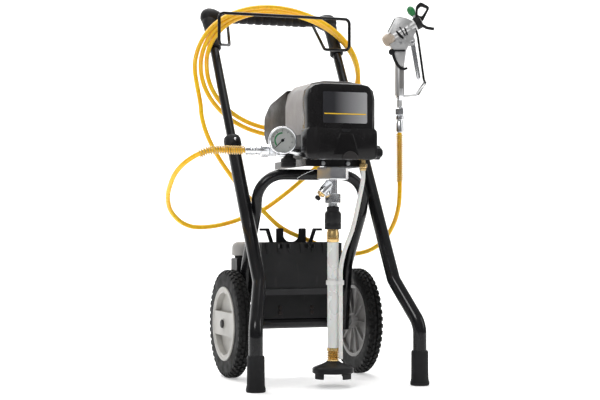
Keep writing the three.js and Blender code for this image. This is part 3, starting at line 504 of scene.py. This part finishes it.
def smooth_line(points, step):
    """A centripetal curve through the points, stepped evenly."""
    ps = [Vector(p) for p in points]
    ps = [ps[0] * 2 - ps[1]] + ps + [ps[-1] * 2 - ps[-2]]
    fine = []
    for i in range(1, len(ps) - 2):
        p0, p1, p2, p3 = ps[i - 1:i + 3]
        t1 = (p1 - p0).length ** 0.5
        t2 = t1 + (p2 - p1).length ** 0.5
        t3 = t2 + (p3 - p2).length ** 0.5
        for k in range(12):
            t = t1 + (t2 - t1) * k / 12
            a1 = p0 * ((t1 - t) / t1) + p1 * (t / t1)
            a2 = p1 * ((t2 - t) / (t2 - t1)) + p2 * ((t - t1) / (t2 - t1))
            a3 = p2 * ((t3 - t) / (t3 - t2)) + p3 * ((t - t2) / (t3 - t2))
            b1 = a1 * ((t2 - t) / t2) + a2 * (t / t2)
            b2 = a2 * ((t3 - t) / (t3 - t1)) + a3 * ((t - t1) / (t3 - t1))
            fine.append(b1 * ((t2 - t) / (t2 - t1)) + b2 * ((t - t1) / (t2 - t1)))
    fine.append(ps[-2])
    run = [0.0]
    for i in range(1, len(fine)):
        run.append(run[-1] + (fine[i] - fine[i - 1]).length)
    count = round(run[-1] / step)
    out, j = [], 0
    for s in range(count + 1):
        d = run[-1] * s / count
        while j < len(run) - 2 and run[j + 1] < d:
            j += 1
        out.append(fine[j].lerp(fine[j + 1], (d - run[j]) / max(1e-9, run[j + 1] - run[j])))
    return out, run[-1]


HOSE_LINE, HOSE_LENGTH = smooth_line(LEAVES + coil_points() + RETURNS, 6)
hose = tube("paint_hose", HOSE_LINE, 5.5, HOSE, None, sides=20, slot="hose_yellow")
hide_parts("hose_run_outlet", "hose_rise", "hose_coil", "hose_drop", "hose_run_gun")
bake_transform(hose)

fitting_out = turned("hose_nut_outlet", [[0, 0], [12, 0], [14, 1.5], [14, 17], [12, 18.5], [9, 19.5],
                     [9, 29], [9.6, 30], [9.6, 34], [9, 35], [9.6, 36], [9.6, 40], [9, 41], [9.6, 42],
                     [9.6, 52], [8.5, 54.7], [0, 54.7]], (-150.3, OUTLET_Y, OUTLET_Z), -X, CHROME, "cart",
                     replaces="hose_fitting_outlet", slot="chrome")
guard_line = [p for p in HOSE_LINE[:18] if p.x > -306]
guard_out = spring("hose_guard_outlet", guard_line, 8.6, 1.2, 5.4, GUARD_WIRE, "cart", slot="chrome")
fitting_gun = turned("hose_ferrule_gun", [[0, 583.5], [8.5, 583.5], [9.6, 585], [9.6, 606], [8, 610],
                     [8, 613], [10, 614.5], [10, 623.5], [7, 625.8], [0, 625.8]], GUN_AT, Z,
                     CHROME, "cart", replaces="hose_fitting_gun", slot="chrome")
guard_gun = spring("hose_guard_gun", [GUN_AT + Z * (464 + 4 * i) for i in range(30)], 8.6, 1.2, 5.4,
                   GUARD_WIRE, "cart", slot="chrome")
swivel_nut = hexagon("gun_swivel_nut", 19, 17, (*GUN_AT.xy, 626), Z, CHROME, "cart")

# ---- cart frame ----
for tag, side in (("left", -1), ("right", 1)):
    line = bent([(side * FOOT_X, FOOT_Y, 6), (side * FOOT_X, FOOT_Y, 136), rail(side, 234),
                 rail(side, 560)], 60)
    tube(f"main_tube_{tag}_skin", line, 15.5, FRAME_PAINT, "cart", sides=40,
         replaces=f"main_tube_{tag}", slot="frame_paint")
    turned(f"foot_{tag}_skin", [[0, 0], [19.5, 0], [21.5, 2], [21.5, 8], [20.6, 10], [20.6, 12],
           [19.6, 14], [19.2, 40], [19.2, 74], [18, 78], [15.8, 78], [15.8, 60], [15.8, 5.5], [0, 5.5]],
           (side * FOOT_X, FOOT_Y, 0), Z, FOOT_RUBBER, "cart", replaces=f"foot_{tag}", slot="rubber")
    low = rail(side, 540)
    turned(f"collar_{tag}_skin", [[15.8, 0], [18, 0], [19.2, 1.5], [20.5, 4.5], [20.6, 14], [20.4, 22],
           [18.8, 26.4], [16.5, 28], [11.4, 28], [11.4, 24.4], [15.8, 24.3], [15.8, 0]], low, RAIL,
           PLASTIC_BLACK, "cart", replaces=f"collar_{tag}", slot="black_plastic")
    centre = low + RAIL * 9
    turned(f"collar_boss_{tag}", [[3.6, 16.5], [6.4, 16.5], [6, 22], [5.2, 22.7], [3.6, 22.7], [3.6, 16.5]],
           centre, RAIL_FRONT, PLASTIC_BLACK, "cart", slot="black_plastic")
    turned(f"lock_button_{tag}_skin", [[0, 18.3], [3.3, 18.3], [3.3, 23], [2.6, 24.1], [1.4, 24.6],
           [0, 24.7]], centre, RAIL_FRONT, CHROME, f"button_{tag}", replaces=f"lock_button_{tag}",
           slot="chrome")
    tube(f"inner_tube_{tag}_skin", [rail(side, 434), rail(side, 600), rail(side, 835)], 11, FRAME_PAINT,
         "handle", sides=36, replaces=f"inner_tube_{tag}", slot="frame_paint")

half = [(-126, 2, 108), (-127.5, -17, 262), (-131, -103, 390), (-132, -121, 475)]
line = bent(half + [(-x, y, z) for x, y, z in reversed(half)], 60)
tube("support_frame_skin", line, 12.5, FRAME_PAINT, "cart", sides=36, replaces="support_frame",
     slot="frame_paint")
tube("axle_beam_skin", [Vector((-113, 0, AXLE_Z)), Vector((113, 0, AXLE_Z))], 15, FRAME_PAINT, "cart",
     sides=40, replaces="axle_beam", slot="frame_paint")
tube("axle_shaft_skin", [Vector((-181, 0, AXLE_Z)), Vector((181, 0, AXLE_Z))], 8, STEEL, "cart", sides=32,
     replaces="axle_shaft", slot="steel")

# ---- wheels ----
for tag, side in (("left", -1), ("right", 1)):
    out = X * side
    centre = (side * WHEEL_X, 0, AXLE_Z)
    body = f"wheel_{tag}"
    turned(f"tyre_{tag}_skin", [[87, -13.6], [93, -15], [104, -16.3], [112, -16.4], [118, -15],
           [121, -12.5], [122.6, -9], [122.9, -2.4], [120.6, -1.6], [120.6, 1.6], [122.9, 2.4],
           [122.6, 9], [121, 12.5], [118, 15], [112, 16.4], [104, 16.3], [93, 15.8], [87, 15.8],
           [87, -13.6]], centre, out, TYRE_RUBBER, body, sides=96, replaces=f"tyre_{tag}",
           slot="tyre_rubber")
    verts, faces = [], []
    turn = Z.rotation_difference(out)
    base = Vector(centre)
    count = 46
    for i in range(count):
        for s0, s1, shift in ((-16.2, -9.6, 0), (-8, -2.2, 0.5), (2.2, 8, 0), (9.6, 16.2, 0.5)):
            a0 = 2 * math.pi * (i + shift) / count
            a1 = a0 + 2 * math.pi * 0.62 / count
            start = len(verts)
            for a in (a0, a1):
                for s in (s0, s1):
                    edge = max(0, abs(s) - 8)
                    for r in (114 if abs(s0 + s1) > 20 else 120, 126.9 - 0.075 * edge ** 2):
                        verts.append(P(*(base + turn @ Vector((r * math.cos(a), r * math.sin(a), s)))))
            faces += [[start + q for q in f] for f in BOX_FACES]
    rounded(make(f"tyre_lugs_{tag}", verts, faces, TYRE_RUBBER, body, slot="tyre_rubber"), 0.8, 2)
    # the rim's inner faces, towards the cart, take the darker RIM_SHADE grey: painted shade
    refined(f"rim_{tag}", RIM_GREY, 0.6, 30, picks=[
        (RIM_SHADE, lambda at, n, s=side: at.x * s < 158)])
    turned(f"hub_cap_{tag}", [[0, 18.7], [9.4, 18.7], [10, 19.6], [10, 21.4], [8.6, 23], [5, 23.8],
           [0, 23.9]], centre, out, SHROUD_DARK, "cart", slot="black_steel")
    turned(f"rim_edge_{tag}", [[79.5, 17], [80, 18.3], [82, 19], [85.6, 18.6], [86.8, 17], [79.5, 17]],
           centre, out, RIM_GREY, body, sides=96, slot="grey_plastic")

# ---- handle ----
grip = bent([rail(-1, 790), rail(-1, GRIP_Z), rail(1, GRIP_Z), rail(1, 790)], 26, 12)
tube("handle_grip_skin", grip, 12.9, GRIP_RUBBER, "handle", sides=40, replaces="handle_grip",
     slot="rubber")
profile = [[0, -97]]
for i in range(10):
    x = -90 + 20 * i
    profile += [[12.6, x - 9.4], [14.4, x - 7], [15, x - 3], [15, x + 3], [14.4, x + 7]]
profile += [[12.6, 99], [0, 99.5]]
turned("handle_ridges", profile, rail(0, GRIP_Z), X, GRIP_RUBBER, "handle", slot="rubber")
for tag, side in (("left", -1), ("right", 1)):
    turned(f"handle_leg_{tag}", [[11.4, 0], [15.6, 0], [17, 1.4], [17, 5], [16.2, 7], [15.5, 10],
           [15.3, 40], [15.5, 70], [17, 80], [17.4, 86], [16, 94], [12, 98], [0, 99]],
           rail(side, 790), RAIL, GRIP_RUBBER, "handle", slot="rubber")
    turned(f"handle_knuckle_{tag}", [[0, -30], [13, -28], [16.5, -22], [20, -13], [22, -3], [21.9, 4],
           [20, 10], [16, 16.6], [9, 21], [0, 22.3]], rail(side, 877) - X * side * 3, X * side,
           GRIP_RUBBER, "handle", slot="rubber")
hook = [(-112.6, 190, 874.4), (-125, 128, 800), (-168.5, 70, 793), (-168.5, 70, 870)]
tube("hose_hanger_skin", bent(hook + [(-x, y, z) for x, y, z in reversed(hook)], 12, 6), 3.9,
     FRAME_PAINT, "handle", sides=16, replaces="hose_hanger", slot="frame_paint")

# ---- tray and oil bottle ----
refined("tool_tray", TRAY_DARK, 1.0, 30, picks=[
    (TRAY_LIP, lambda at, n: at.z < 212 and at.y < -51)])
refined("tray_back_plate", SATIN_BLACK, 0.8, 30)
refined("tray_bracket", SATIN_BLACK, 0.6, 30, picks=[
    (MOTOR_BROWN, lambda at, n: at.y < -18.6)])
turned("oil_bottle_skin", [[0, 104], [20.5, 104.4], [22.2, 106], [22.5, 112], [22.4, 122], [21.2, 128],
       [18.4, 132.8], [13, 136.2], [6, 137.2], [0, 137.3]], BOTTLE_AT, Z, DOME_GREY, "cart",
       replaces="oil_bottle", slot="grey_plastic")
turned("oil_bottle_body", [[0, 0.4], [14, 0.4], [16, 3], [16, 104], [0, 104.2]], BOTTLE_AT, Z,
       TRAY_DARK, "cart", slot="dark_plastic")

# ---- pump housing ----
refined("base_plate", COVER_BLACK, 0.7, 30)
refined("front_cover", COVER_BLACK, 0.6, 50)
refined("label_plate", LABEL, 0.4, 30)
refined("shroud", SHROUD_GREY, 0.8, 40, picks=[
    (SHROUD_DARK, lambda at, n: at.z < 556)])
refined("rear_cover", MOTOR_BROWN, 0.8, 40)
slab("label_line", [(-43, 603.2), (55, 603.2), (55, 600.8), (-43, 600.8)], "y", -312.3, -311.6, YELLOW,
     "cart", 0.1, slot="dark_plastic")
slab("cover_latch", [(-3, 569), (19, 569), (19, 565), (15, 562.5), (1, 562.5), (-3, 565)], "y", -313.2,
     -311, FOOT_RUBBER, "cart", 0.6, slot="black_plastic")
slab("cover_tongue", [(-7, 559), (23, 559), (28, 548), (33, 530), (38, 511), (-22, 511), (-17, 530),
     (-12, 548)], "y", -313.6, -310, COVER_BLACK, "cart", 1.6, slot="black_plastic")
half_round = [(17 + 19 * math.cos(math.radians(a)), 502 + 19 * math.sin(math.radians(a)))
              for a in range(0, 181, 10)]
slab("cover_boss", half_round, "y", -316, -309, SHROUD_DARK, "cart", 2.6, slot="black_plastic")
for i, x in enumerate((-32, 27)):
    turned(f"base_stud_{i}", [[0, 0], [5, 0], [4.6, 3], [2, 3.2], [0, 3.2]],
           (x, -274, 495), -Y, STEEL, "cart", sides=24)

# ---- hidden drive ----
for node, material in (("drive_housing", ALUMINIUM), ("crankshaft", STEEL), ("motor_stator", STEEL),
                       ("motor_rotor", STEEL), ("piston", CHROME)):
    refined(node, material, 0.4, 40)

# ---- pump head and suction side ----
AXIS = (0, PUMP_Y, 0)
turned("pump_head_skin", [[8.2, 460.4], [18.5, 460.4], [20, 462], [20, 505.3], [22.5, 505.3], [22.5, 533],
       [8.2, 533], [8.2, 460.4]], AXIS, Z, CHROME, "cart", replaces="pump_head", slot="chrome")
hexagon("pump_nut", 64, 27, (0, PUMP_Y, 460), Z, CHROME, "cart", slot="chrome")
DOWN_LEFT = Vector((-41, 0, -47)).normalized()
PUSH = Vector((0, PUMP_Y, 460))
turned("inlet_valve_skin", [[6, 428], [9.8, 428], [9.8, 459.6], [6, 459.6], [6, 428]], AXIS, Z, CHROME,
       "cart", replaces="inlet_valve", slot="chrome")
turned("inlet_thread", [[6, 400], [10.4, 400], [11, 401.5], [10.2, 402.5], [11, 403.5], [10.2, 404.5],
       [11, 405.5], [10.2, 406.5], [10.2, 408], [6, 408], [6, 400]], AXIS, Z, STEEL, "cart",
       slot="steel")
hexagon("inlet_nut", 32, 21, (0, PUMP_Y, 407.5), Z, CHROME, "cart", slot="chrome")
turned("inlet_arm", [[0, 10], [10, 10], [10.5, 11], [10.5, 35.4], [9.6, 36], [9.6, 37], [10.5, 37.6],
       [10.5, 40], [9.4, 41], [0, 41]], PUSH, DOWN_LEFT, CHROME, "cart", slot="chrome")
turned("inlet_arm_ring", [[3.3, 40.6], [9, 40.6], [9.5, 41.6], [9.5, 44.4], [8.4, 46], [3.3, 46],
       [3.3, 40.6]], PUSH, DOWN_LEFT, BRASS, "cart", slot="brass")
turned("inlet_pusher_stem", [[0, 37], [2.9, 37], [2.9, 51], [0, 51]], PUSH, DOWN_LEFT, BRASS, "pusher",
       slot="brass")
turned("inlet_pusher_skin", [[0, 50.8], [5.4, 50.8], [6.5, 52], [6.5, 55.6], [5.2, 58.4], [0, 59]],
       PUSH, DOWN_LEFT, PLASTIC_BLACK, "pusher", replaces="inlet_pusher", slot="black_plastic")
turned("suction_coupling_skin", [[6, 349], [17.5, 349], [18.5, 350.5], [18.5, 362], [17.8, 363],
       [18.5, 364], [18.5, 384], [17, 387], [15, 389], [14, 390], [14, 399.7], [6, 399.7], [6, 349]],
       AXIS, Z, PLASTIC_BLACK, "cart", replaces="suction_coupling", slot="black_plastic")
turned("suction_collar", [[6, 320.6], [12.5, 320.6], [13.9, 323], [13.9, 328], [12.9, 329], [13.9, 330],
       [13.9, 342], [12.6, 345], [12.6, 349.5], [6, 349.5], [6, 320.6]], AXIS, Z, BRASS, "cart",
       slot="brass")
turned("suction_tube_skin", [[9.8, 86.3], [12.5, 86.3], [12.5, 200], [12.5, 320.3], [9.8, 320.3],
       [9.8, 200], [9.8, 86.3]], AXIS, Z, TUBE_MILKY, "cart", replaces="suction_tube",
       slot="clear_plastic")
turned("suction_barb", [[6, 58], [13, 58], [13, 60], [11, 62], [13.4, 65], [11, 67], [13.4, 70],
       [11, 72], [13.4, 75], [11, 77], [13.4, 80], [13, 86], [6, 86], [6, 58]], AXIS, Z, BRASS, "cart",
       slot="brass")
turned("strainer_skin", [[41, 31], [44.8, 31], [46, 32.2], [46, 40.6], [44.6, 42.8], [38, 46], [30, 49],
       [22, 52], [16, 55.4], [13, 57.7], [6, 57.7], [6, 50], [20, 47.5], [35, 42], [41, 38.5], [41, 31]],
       AXIS, Z, PLASTIC_BLACK, "cart", sides=64, replaces="strainer", slot="black_plastic")
verts, faces = [], []
for i in range(4):
    start = len(verts)
    for k in range(7):
        a = math.radians(25 + 90 * i - 16 + 32 * k / 6)
        for radius in (41, 46):
            for z in (19, 31.4):
                verts.append(P(radius * math.cos(a), PUMP_Y + radius * math.sin(a), z))
    for k in range(6):
        a, b = start + 4 * k, start + 4 * k + 4
        faces += [[a, b, b + 1, a + 1], [a + 2, a + 3, b + 3, b + 2], [a, a + 2, b + 2, b],
                  [a + 1, b + 1, b + 3, a + 3]]
    end = start + 24
    faces += [[start, start + 1, start + 3, start + 2], [end, end + 2, end + 3, end + 1]]
rounded(make("strainer_lugs", verts, faces, PLASTIC_BLACK, "cart", slot="black_plastic"), 0.8, 2)

# ---- outlet side ----
tube("outlet_manifold_skin", [Vector((-22.9, OUTLET_Y, OUTLET_Z)), Vector((-136, OUTLET_Y, OUTLET_Z))],
     11, CHROME, "cart", sides=40, replaces="outlet_manifold", slot="chrome")
turned("outlet_tower", [[0, 509], [12.6, 509], [15, 512], [15, 540], [14.2, 541], [15, 542], [15, 556],
       [12, 560], [0, 560.4]], (GAUGE_X, OUTLET_Y, 0), Z, CHROME, "cart", slot="chrome")
turned("outlet_valve_cap", [[0, 485.5], [14.5, 485.5], [17, 488], [17, 495], [16.2, 496], [17, 497],
       [17, 503], [15, 506], [11, 507], [11, 513], [0, 513]], (-103, OUTLET_Y, 0), Z, PLASTIC_BLACK, "cart",
       slot="black_plastic")
hexagon("outlet_nipple", 22, 16, (-134, OUTLET_Y, OUTLET_Z), -X, CHROME, "cart", slot="chrome")
turn_gauge = math.radians(-15)
GD = Vector((math.sin(turn_gauge), -math.cos(turn_gauge), 0))
GB = Vector((GAUGE_X, OUTLET_Y, GAUGE_Z)) + GD * 19
turned("gauge_stem", [[0, 0], [8, 0], [8, 20], [0, 20]], (GAUGE_X, OUTLET_Y, GAUGE_Z), GD, CHROME, "cart",
       slot="chrome")
turned("gauge_case_skin", [[0, 0], [26, 0], [29.5, 2], [30.3, 5], [30.3, 17], [31, 18], [31, 22],
       [30, 23.6], [28.4, 24], [27, 23], [26.6, 14], [0, 14]], GB, GD, CHROME, "cart", sides=72,
       replaces="gauge_case", slot="chrome")
turned("gauge_dial", [[0, 13.6], [26.4, 13.6], [26.4, 14.4], [0, 14.4]], GB, GD, DIAL_WHITE, "cart",
       sides=64, slot="white_plastic")
turned("gauge_glass", [[0, 20.6], [26.8, 20.6], [26.8, 21.4], [12, 22], [0, 22.2]], GB, GD, GLASS, "cart",
       sides=64, slot="clear_plastic")
SIDE = Z.cross(GD)


def on_dial(r, a, h):
    return GB + GD * h + (SIDE * math.sin(a) + Z * math.cos(a)) * r


verts, faces = [], []
for i in range(41):
    a = math.radians(-135 + 270 * i / 40)
    long = 19 if i % 5 == 0 else 21.4
    wide = 0.018 if i % 5 == 0 else 0.009
    s = len(verts)
    for r in (long, 24.2):
        for w in (-wide, wide):
            for h in (14.3, 14.6):
                verts.append(P(*on_dial(r, a + w * 24 / r, h)))
    faces += [[s + k for k in f] for f in BOX_FACES]
make("gauge_marks", verts, faces, PLASTIC_BLACK, "cart", slot="black_plastic")
verts, faces = [], []
steps = 30
for i in range(steps + 1):
    a = math.radians(-130 + 130 * i / steps)
    for r in (14.6, 18):
        for h in (14.3, 14.55):
            verts.append(P(*on_dial(r, a, h)))
for i in range(steps):
    s, n = 4 * i, 4 * i + 4
    faces += [[s, n, n + 2, s + 2], [s + 1, s + 3, n + 3, n + 1], [s, s + 1, n + 1, n],
              [s + 2, n + 2, n + 3, s + 3]]
faces += [[0, 2, 3, 1], [4 * steps, 4 * steps + 1, 4 * steps + 3, 4 * steps + 2]]
make("gauge_arc", verts, faces, DIAL_GREEN, "cart", slot="green_plastic")
refined("gauge_needle", PLASTIC_BLACK, 0.1, 30)

refined("control_knob", PLASTIC_BLACK, 1.2, 30, picks=[
    (CHROME, lambda at, n: at.x < 99)])
turned("return_fitting_skin", [[0, 479.3], [6.2, 479.3], [6.6, 481], [6.6, 485], [9, 487], [9, 494],
       [6, 495], [5, 496], [5, 501.6], [0, 501.6]], (RETURN_X, RETURN_Y, 0), Z, BRASS, "cart",
       replaces="return_fitting", slot="brass")
line, _ = smooth_line([(RETURN_X, RETURN_Y, 479), (RETURN_X, RETURN_Y, 462), (50, -282, 412), (38, -274, 350),
                       (20, -267, 296), (13.5, -265, 262), (13.2, -264.8, 240), (13.2, -264.8, 220),
                       (13.2, -264.8, 62)], 8)
tube("return_tube_skin", line, 4.8, TUBE_WHITE, "cart", sides=24, replaces="return_tube",
     slot="white_plastic")
refined("tube_clip", WHITE, 0.8, 30)

# ---- bead chain that earths the pump plate to the frame ----
chain, _ = smooth_line([(0, -136, 487), (-14, -138.5, 481.5), (-30, -138, 474.5), (-42, -136, 467)], 3.4)
for i, p in enumerate(chain):
    turned(f"chain_bead_{i}", [[0, -1.3], [0.9, -0.9], [1.3, 0], [0.9, 0.9], [0, 1.3]], p, Z, CHROME,
           "cart", sides=10, slot="chrome")
tube("chain_wire", chain, 0.5, CHROME, "cart", sides=6, slot="chrome")

# ---- spray gun, in its own plane ----
GT = Matrix.Rotation(math.radians(VIEW_TURN), 3, "Z")


def gun(v):
    return GT @ Vector(v) + GUN_AT


rise = math.radians(BARREL_RISE)
BD = Vector((math.cos(rise), 0, math.sin(rise)))
TD = Vector((-BD.z, 0, BD.x))


def barrel(s, t=0):
    return Vector((0, 0, BARREL_Z)) + BD * s + TD * t


def in_gun(at):
    return GT.inverted() @ (at - GUN_AT)


def is_cap(at):
    v = in_gun(at) - Vector((0, 0, BARREL_Z))
    return v.dot(BD) < -19.5 and abs(v.dot(TD)) < 15.9 and abs(v.y) < 15.9


refined("gun_body", ALUMINIUM, 0.7, 40, picks=[
    (TAN, lambda at, n: is_cap(at)),
    (SATIN_BLACK, lambda at, n: in_gun(at).x > 37.5 and 703 < in_gun(at).z < 837)])
turned("gun_handle", [[0, 672], [10.6, 672], [11.7, 676], [11.9, 700], [11.9, 742], [10.5, 750],
       [0, 750]], gun((0, 0, 0)), Z, ALUMINIUM, "gun", slot="aluminium")
slab("gun_handle_inset", [(-1, 690), (8, 690), (9, 738), (8, 744), (-1, 744)], "y", -12.7, -9.5,
     RIM_SHADE, "gun", 0.6, turn=gun, slot="dark_plastic")
turned("gun_neck", [[0, 643.4], [7, 643.4], [7.4, 646], [6.2, 649], [6.2, 660], [7.6, 662.5],
       [10.8, 672.5], [0, 672.5]], gun((0, 0, 0)), Z, CHROME, "gun", slot="chrome")
turned("gun_barrel", [[0, -18], [12.6, -18], [12.8, 8], [12.8, 25], [12, 26], [12.8, 27], [12, 28],
       [12.8, 29], [12, 30], [13.5, 31], [13.5, 43.8], [0, 44]], gun(barrel(0)), GT @ BD, ALUMINIUM,
       "gun", slot="aluminium")
turned("gun_end_cap", [[0, 16.5], [12.6, 16.5], [13.6, 19.4], [15.4, 24], [15.9, 31], [14.8, 37],
       [12, 41.8], [8, 44.6], [0, 45.6]], gun(barrel(0)), GT @ -BD, TAN, "gun")
for i, link in enumerate(([(-10, 829), (-6, 830), (10, 813), (7, 809.5), (-3, 817)],
                          [(9.5, 838), (13, 838), (20, 821), (17, 819)],
                          [(-1.5, 839), (1, 840), (14.5, 818.5), (12, 817)])):
    slab(f"gun_link_{i}", link, "y", -13.2, -10, SATIN_BLACK, "gun", 0.5, turn=gun, slot="black_steel")
slab("gun_spine", [(-13.5, 860), (-11, 860.5), (-28.5, 826.5), (-31, 826)], "y", -11.7, -10,
     SHROUD_DARK, "gun", 0.3, turn=gun, slot="dark_plastic")
slab("gun_guard_strap", [(58.5, 707), (66, 706), (47, 674), (37, 675.5)], "y", -1.6, 1.6, RIM_SHADE,
     "gun", 0.5, turn=gun, slot="steel")
turned("gun_pivot_pin", [[0, 0], [4.6, 0], [4.6, 1.4], [3.6, 2.2], [0, 2.3]],
       gun((31, -11, 802)), GT @ Vector((0, -1, 0)), CHROME, "gun", sides=28, slot="chrome")
turned("gun_side_screw", [[0, 0], [3.4, 0], [3.2, 0.3], [0, 0.4]], gun((2, -11, 801)),
       GT @ Vector((0, -1, 0)), STEEL, "gun", sides=24, slot="steel")
refined("gun_trigger", CHROME, 0.6, 30)
refined("gun_trigger_lock", PLASTIC_BLACK, 0.6, 30)
refined("gun_tip_guard", PLASTIC_BLACK, 0.8, 40)
turned("gun_tip_ring", [[5, 13], [9.8, 13], [10.4, 16.8], [8, 17.6], [5, 17], [5, 13]],
       gun(barrel(44)), GT @ BD, WHITE, "tip_guard", slot="white_plastic")
refined("gun_spray_tip", GREEN, 0.5, 40, picks=[
    (STEEL, lambda at, n: (in_gun(at) - barrel(52)).dot(TD) < 19)])

# ---- floor, light ----


def plain(name, colour, rough):
    m, tree, shader = nodes_of(name)
    tree.links.new(ramp(tree, noise(tree, 3, 4), 0.3, 0.7, tuple(c * 0.985 for c in colour), colour),
                   shader.inputs["Base Color"])
    shader.inputs["Roughness"].default_value = rough
    return m


verts, faces = [], []
profile = [(-4.5, 0), (2.2, 0)]
for i in range(1, 13):
    a = math.radians(90 * i / 12)
    profile.append((2.2 + 1.2 * math.sin(a), 1.2 - 1.2 * math.cos(a)))
profile.append((3.4, 6))
for y, z in profile:
    verts += [Vector((-6, y, z)), Vector((6, y, z))]
for i in range(len(profile) - 1):
    faces.append([2 * i, 2 * i + 1, 2 * i + 3, 2 * i + 2])
sweep_mesh = bpy.data.meshes.new("studio_sweep")
sweep_mesh.from_pydata([tuple(v) for v in verts], [], faces)
sweep = bpy.data.objects.new("studio_sweep", sweep_mesh)
bpy.context.scene.collection.objects.link(sweep)
for poly in sweep_mesh.polygons:
    poly.use_smooth = True
sweep_mesh.materials.append(plain("studio_white", (0.9, 0.9, 0.9), 0.8))
glow = next(n for n in sweep_mesh.materials[0].node_tree.nodes if n.type == "BSDF_PRINCIPLED")
glow.inputs["Emission Color"].default_value = (1, 1, 1, 1)
glow.inputs["Emission Strength"].default_value = 0.34

world = bpy.data.worlds.new("studio")
world.use_nodes = True
sky = world.node_tree
direction = sky.nodes.new("ShaderNodeTexCoord")
parts = sky.nodes.new("ShaderNodeSeparateXYZ")
sky.links.new(direction.outputs["Generated"], parts.inputs["Vector"])
sky.links.new(ramp(sky, parts.outputs["Z"], 0.05, 0.6, (0.34, 0.34, 0.35), (1, 1, 1)),
              sky.nodes["Background"].inputs["Color"])
sky.nodes["Background"].inputs["Strength"].default_value = 0.36
bpy.context.scene.world = world
bpy.context.scene.view_settings.view_transform = "Standard"


def area(name, at, target, size, power):
    data = bpy.data.lights.new(name, "AREA")
    data.shape = "RECTANGLE"
    data.size, data.size_y = size
    data.energy = power
    obj = bpy.data.objects.new(name, data)
    bpy.context.scene.collection.objects.link(obj)
    obj.location = at
    obj.rotation_euler = (Vector(target) - Vector(at)).to_track_quat("-Z", "Y").to_euler()


area("key_light", (-2.0, -2.3, 2.6), (0, 0, 0.45), (1.1, 1.1), 34)
area("fill_light", (2.6, -1.6, 1.5), (0, 0, 0.4), (0.7, 1.6), 13)
area("top_light", (0.2, 0.2, 3.2), (0, 0, 0.3), (2.4, 2.4), 32)
area("backdrop_light", (-0.4, 1.6, 3.4), (0.6, 3.2, 0.6), (4.0, 1.6), 130)
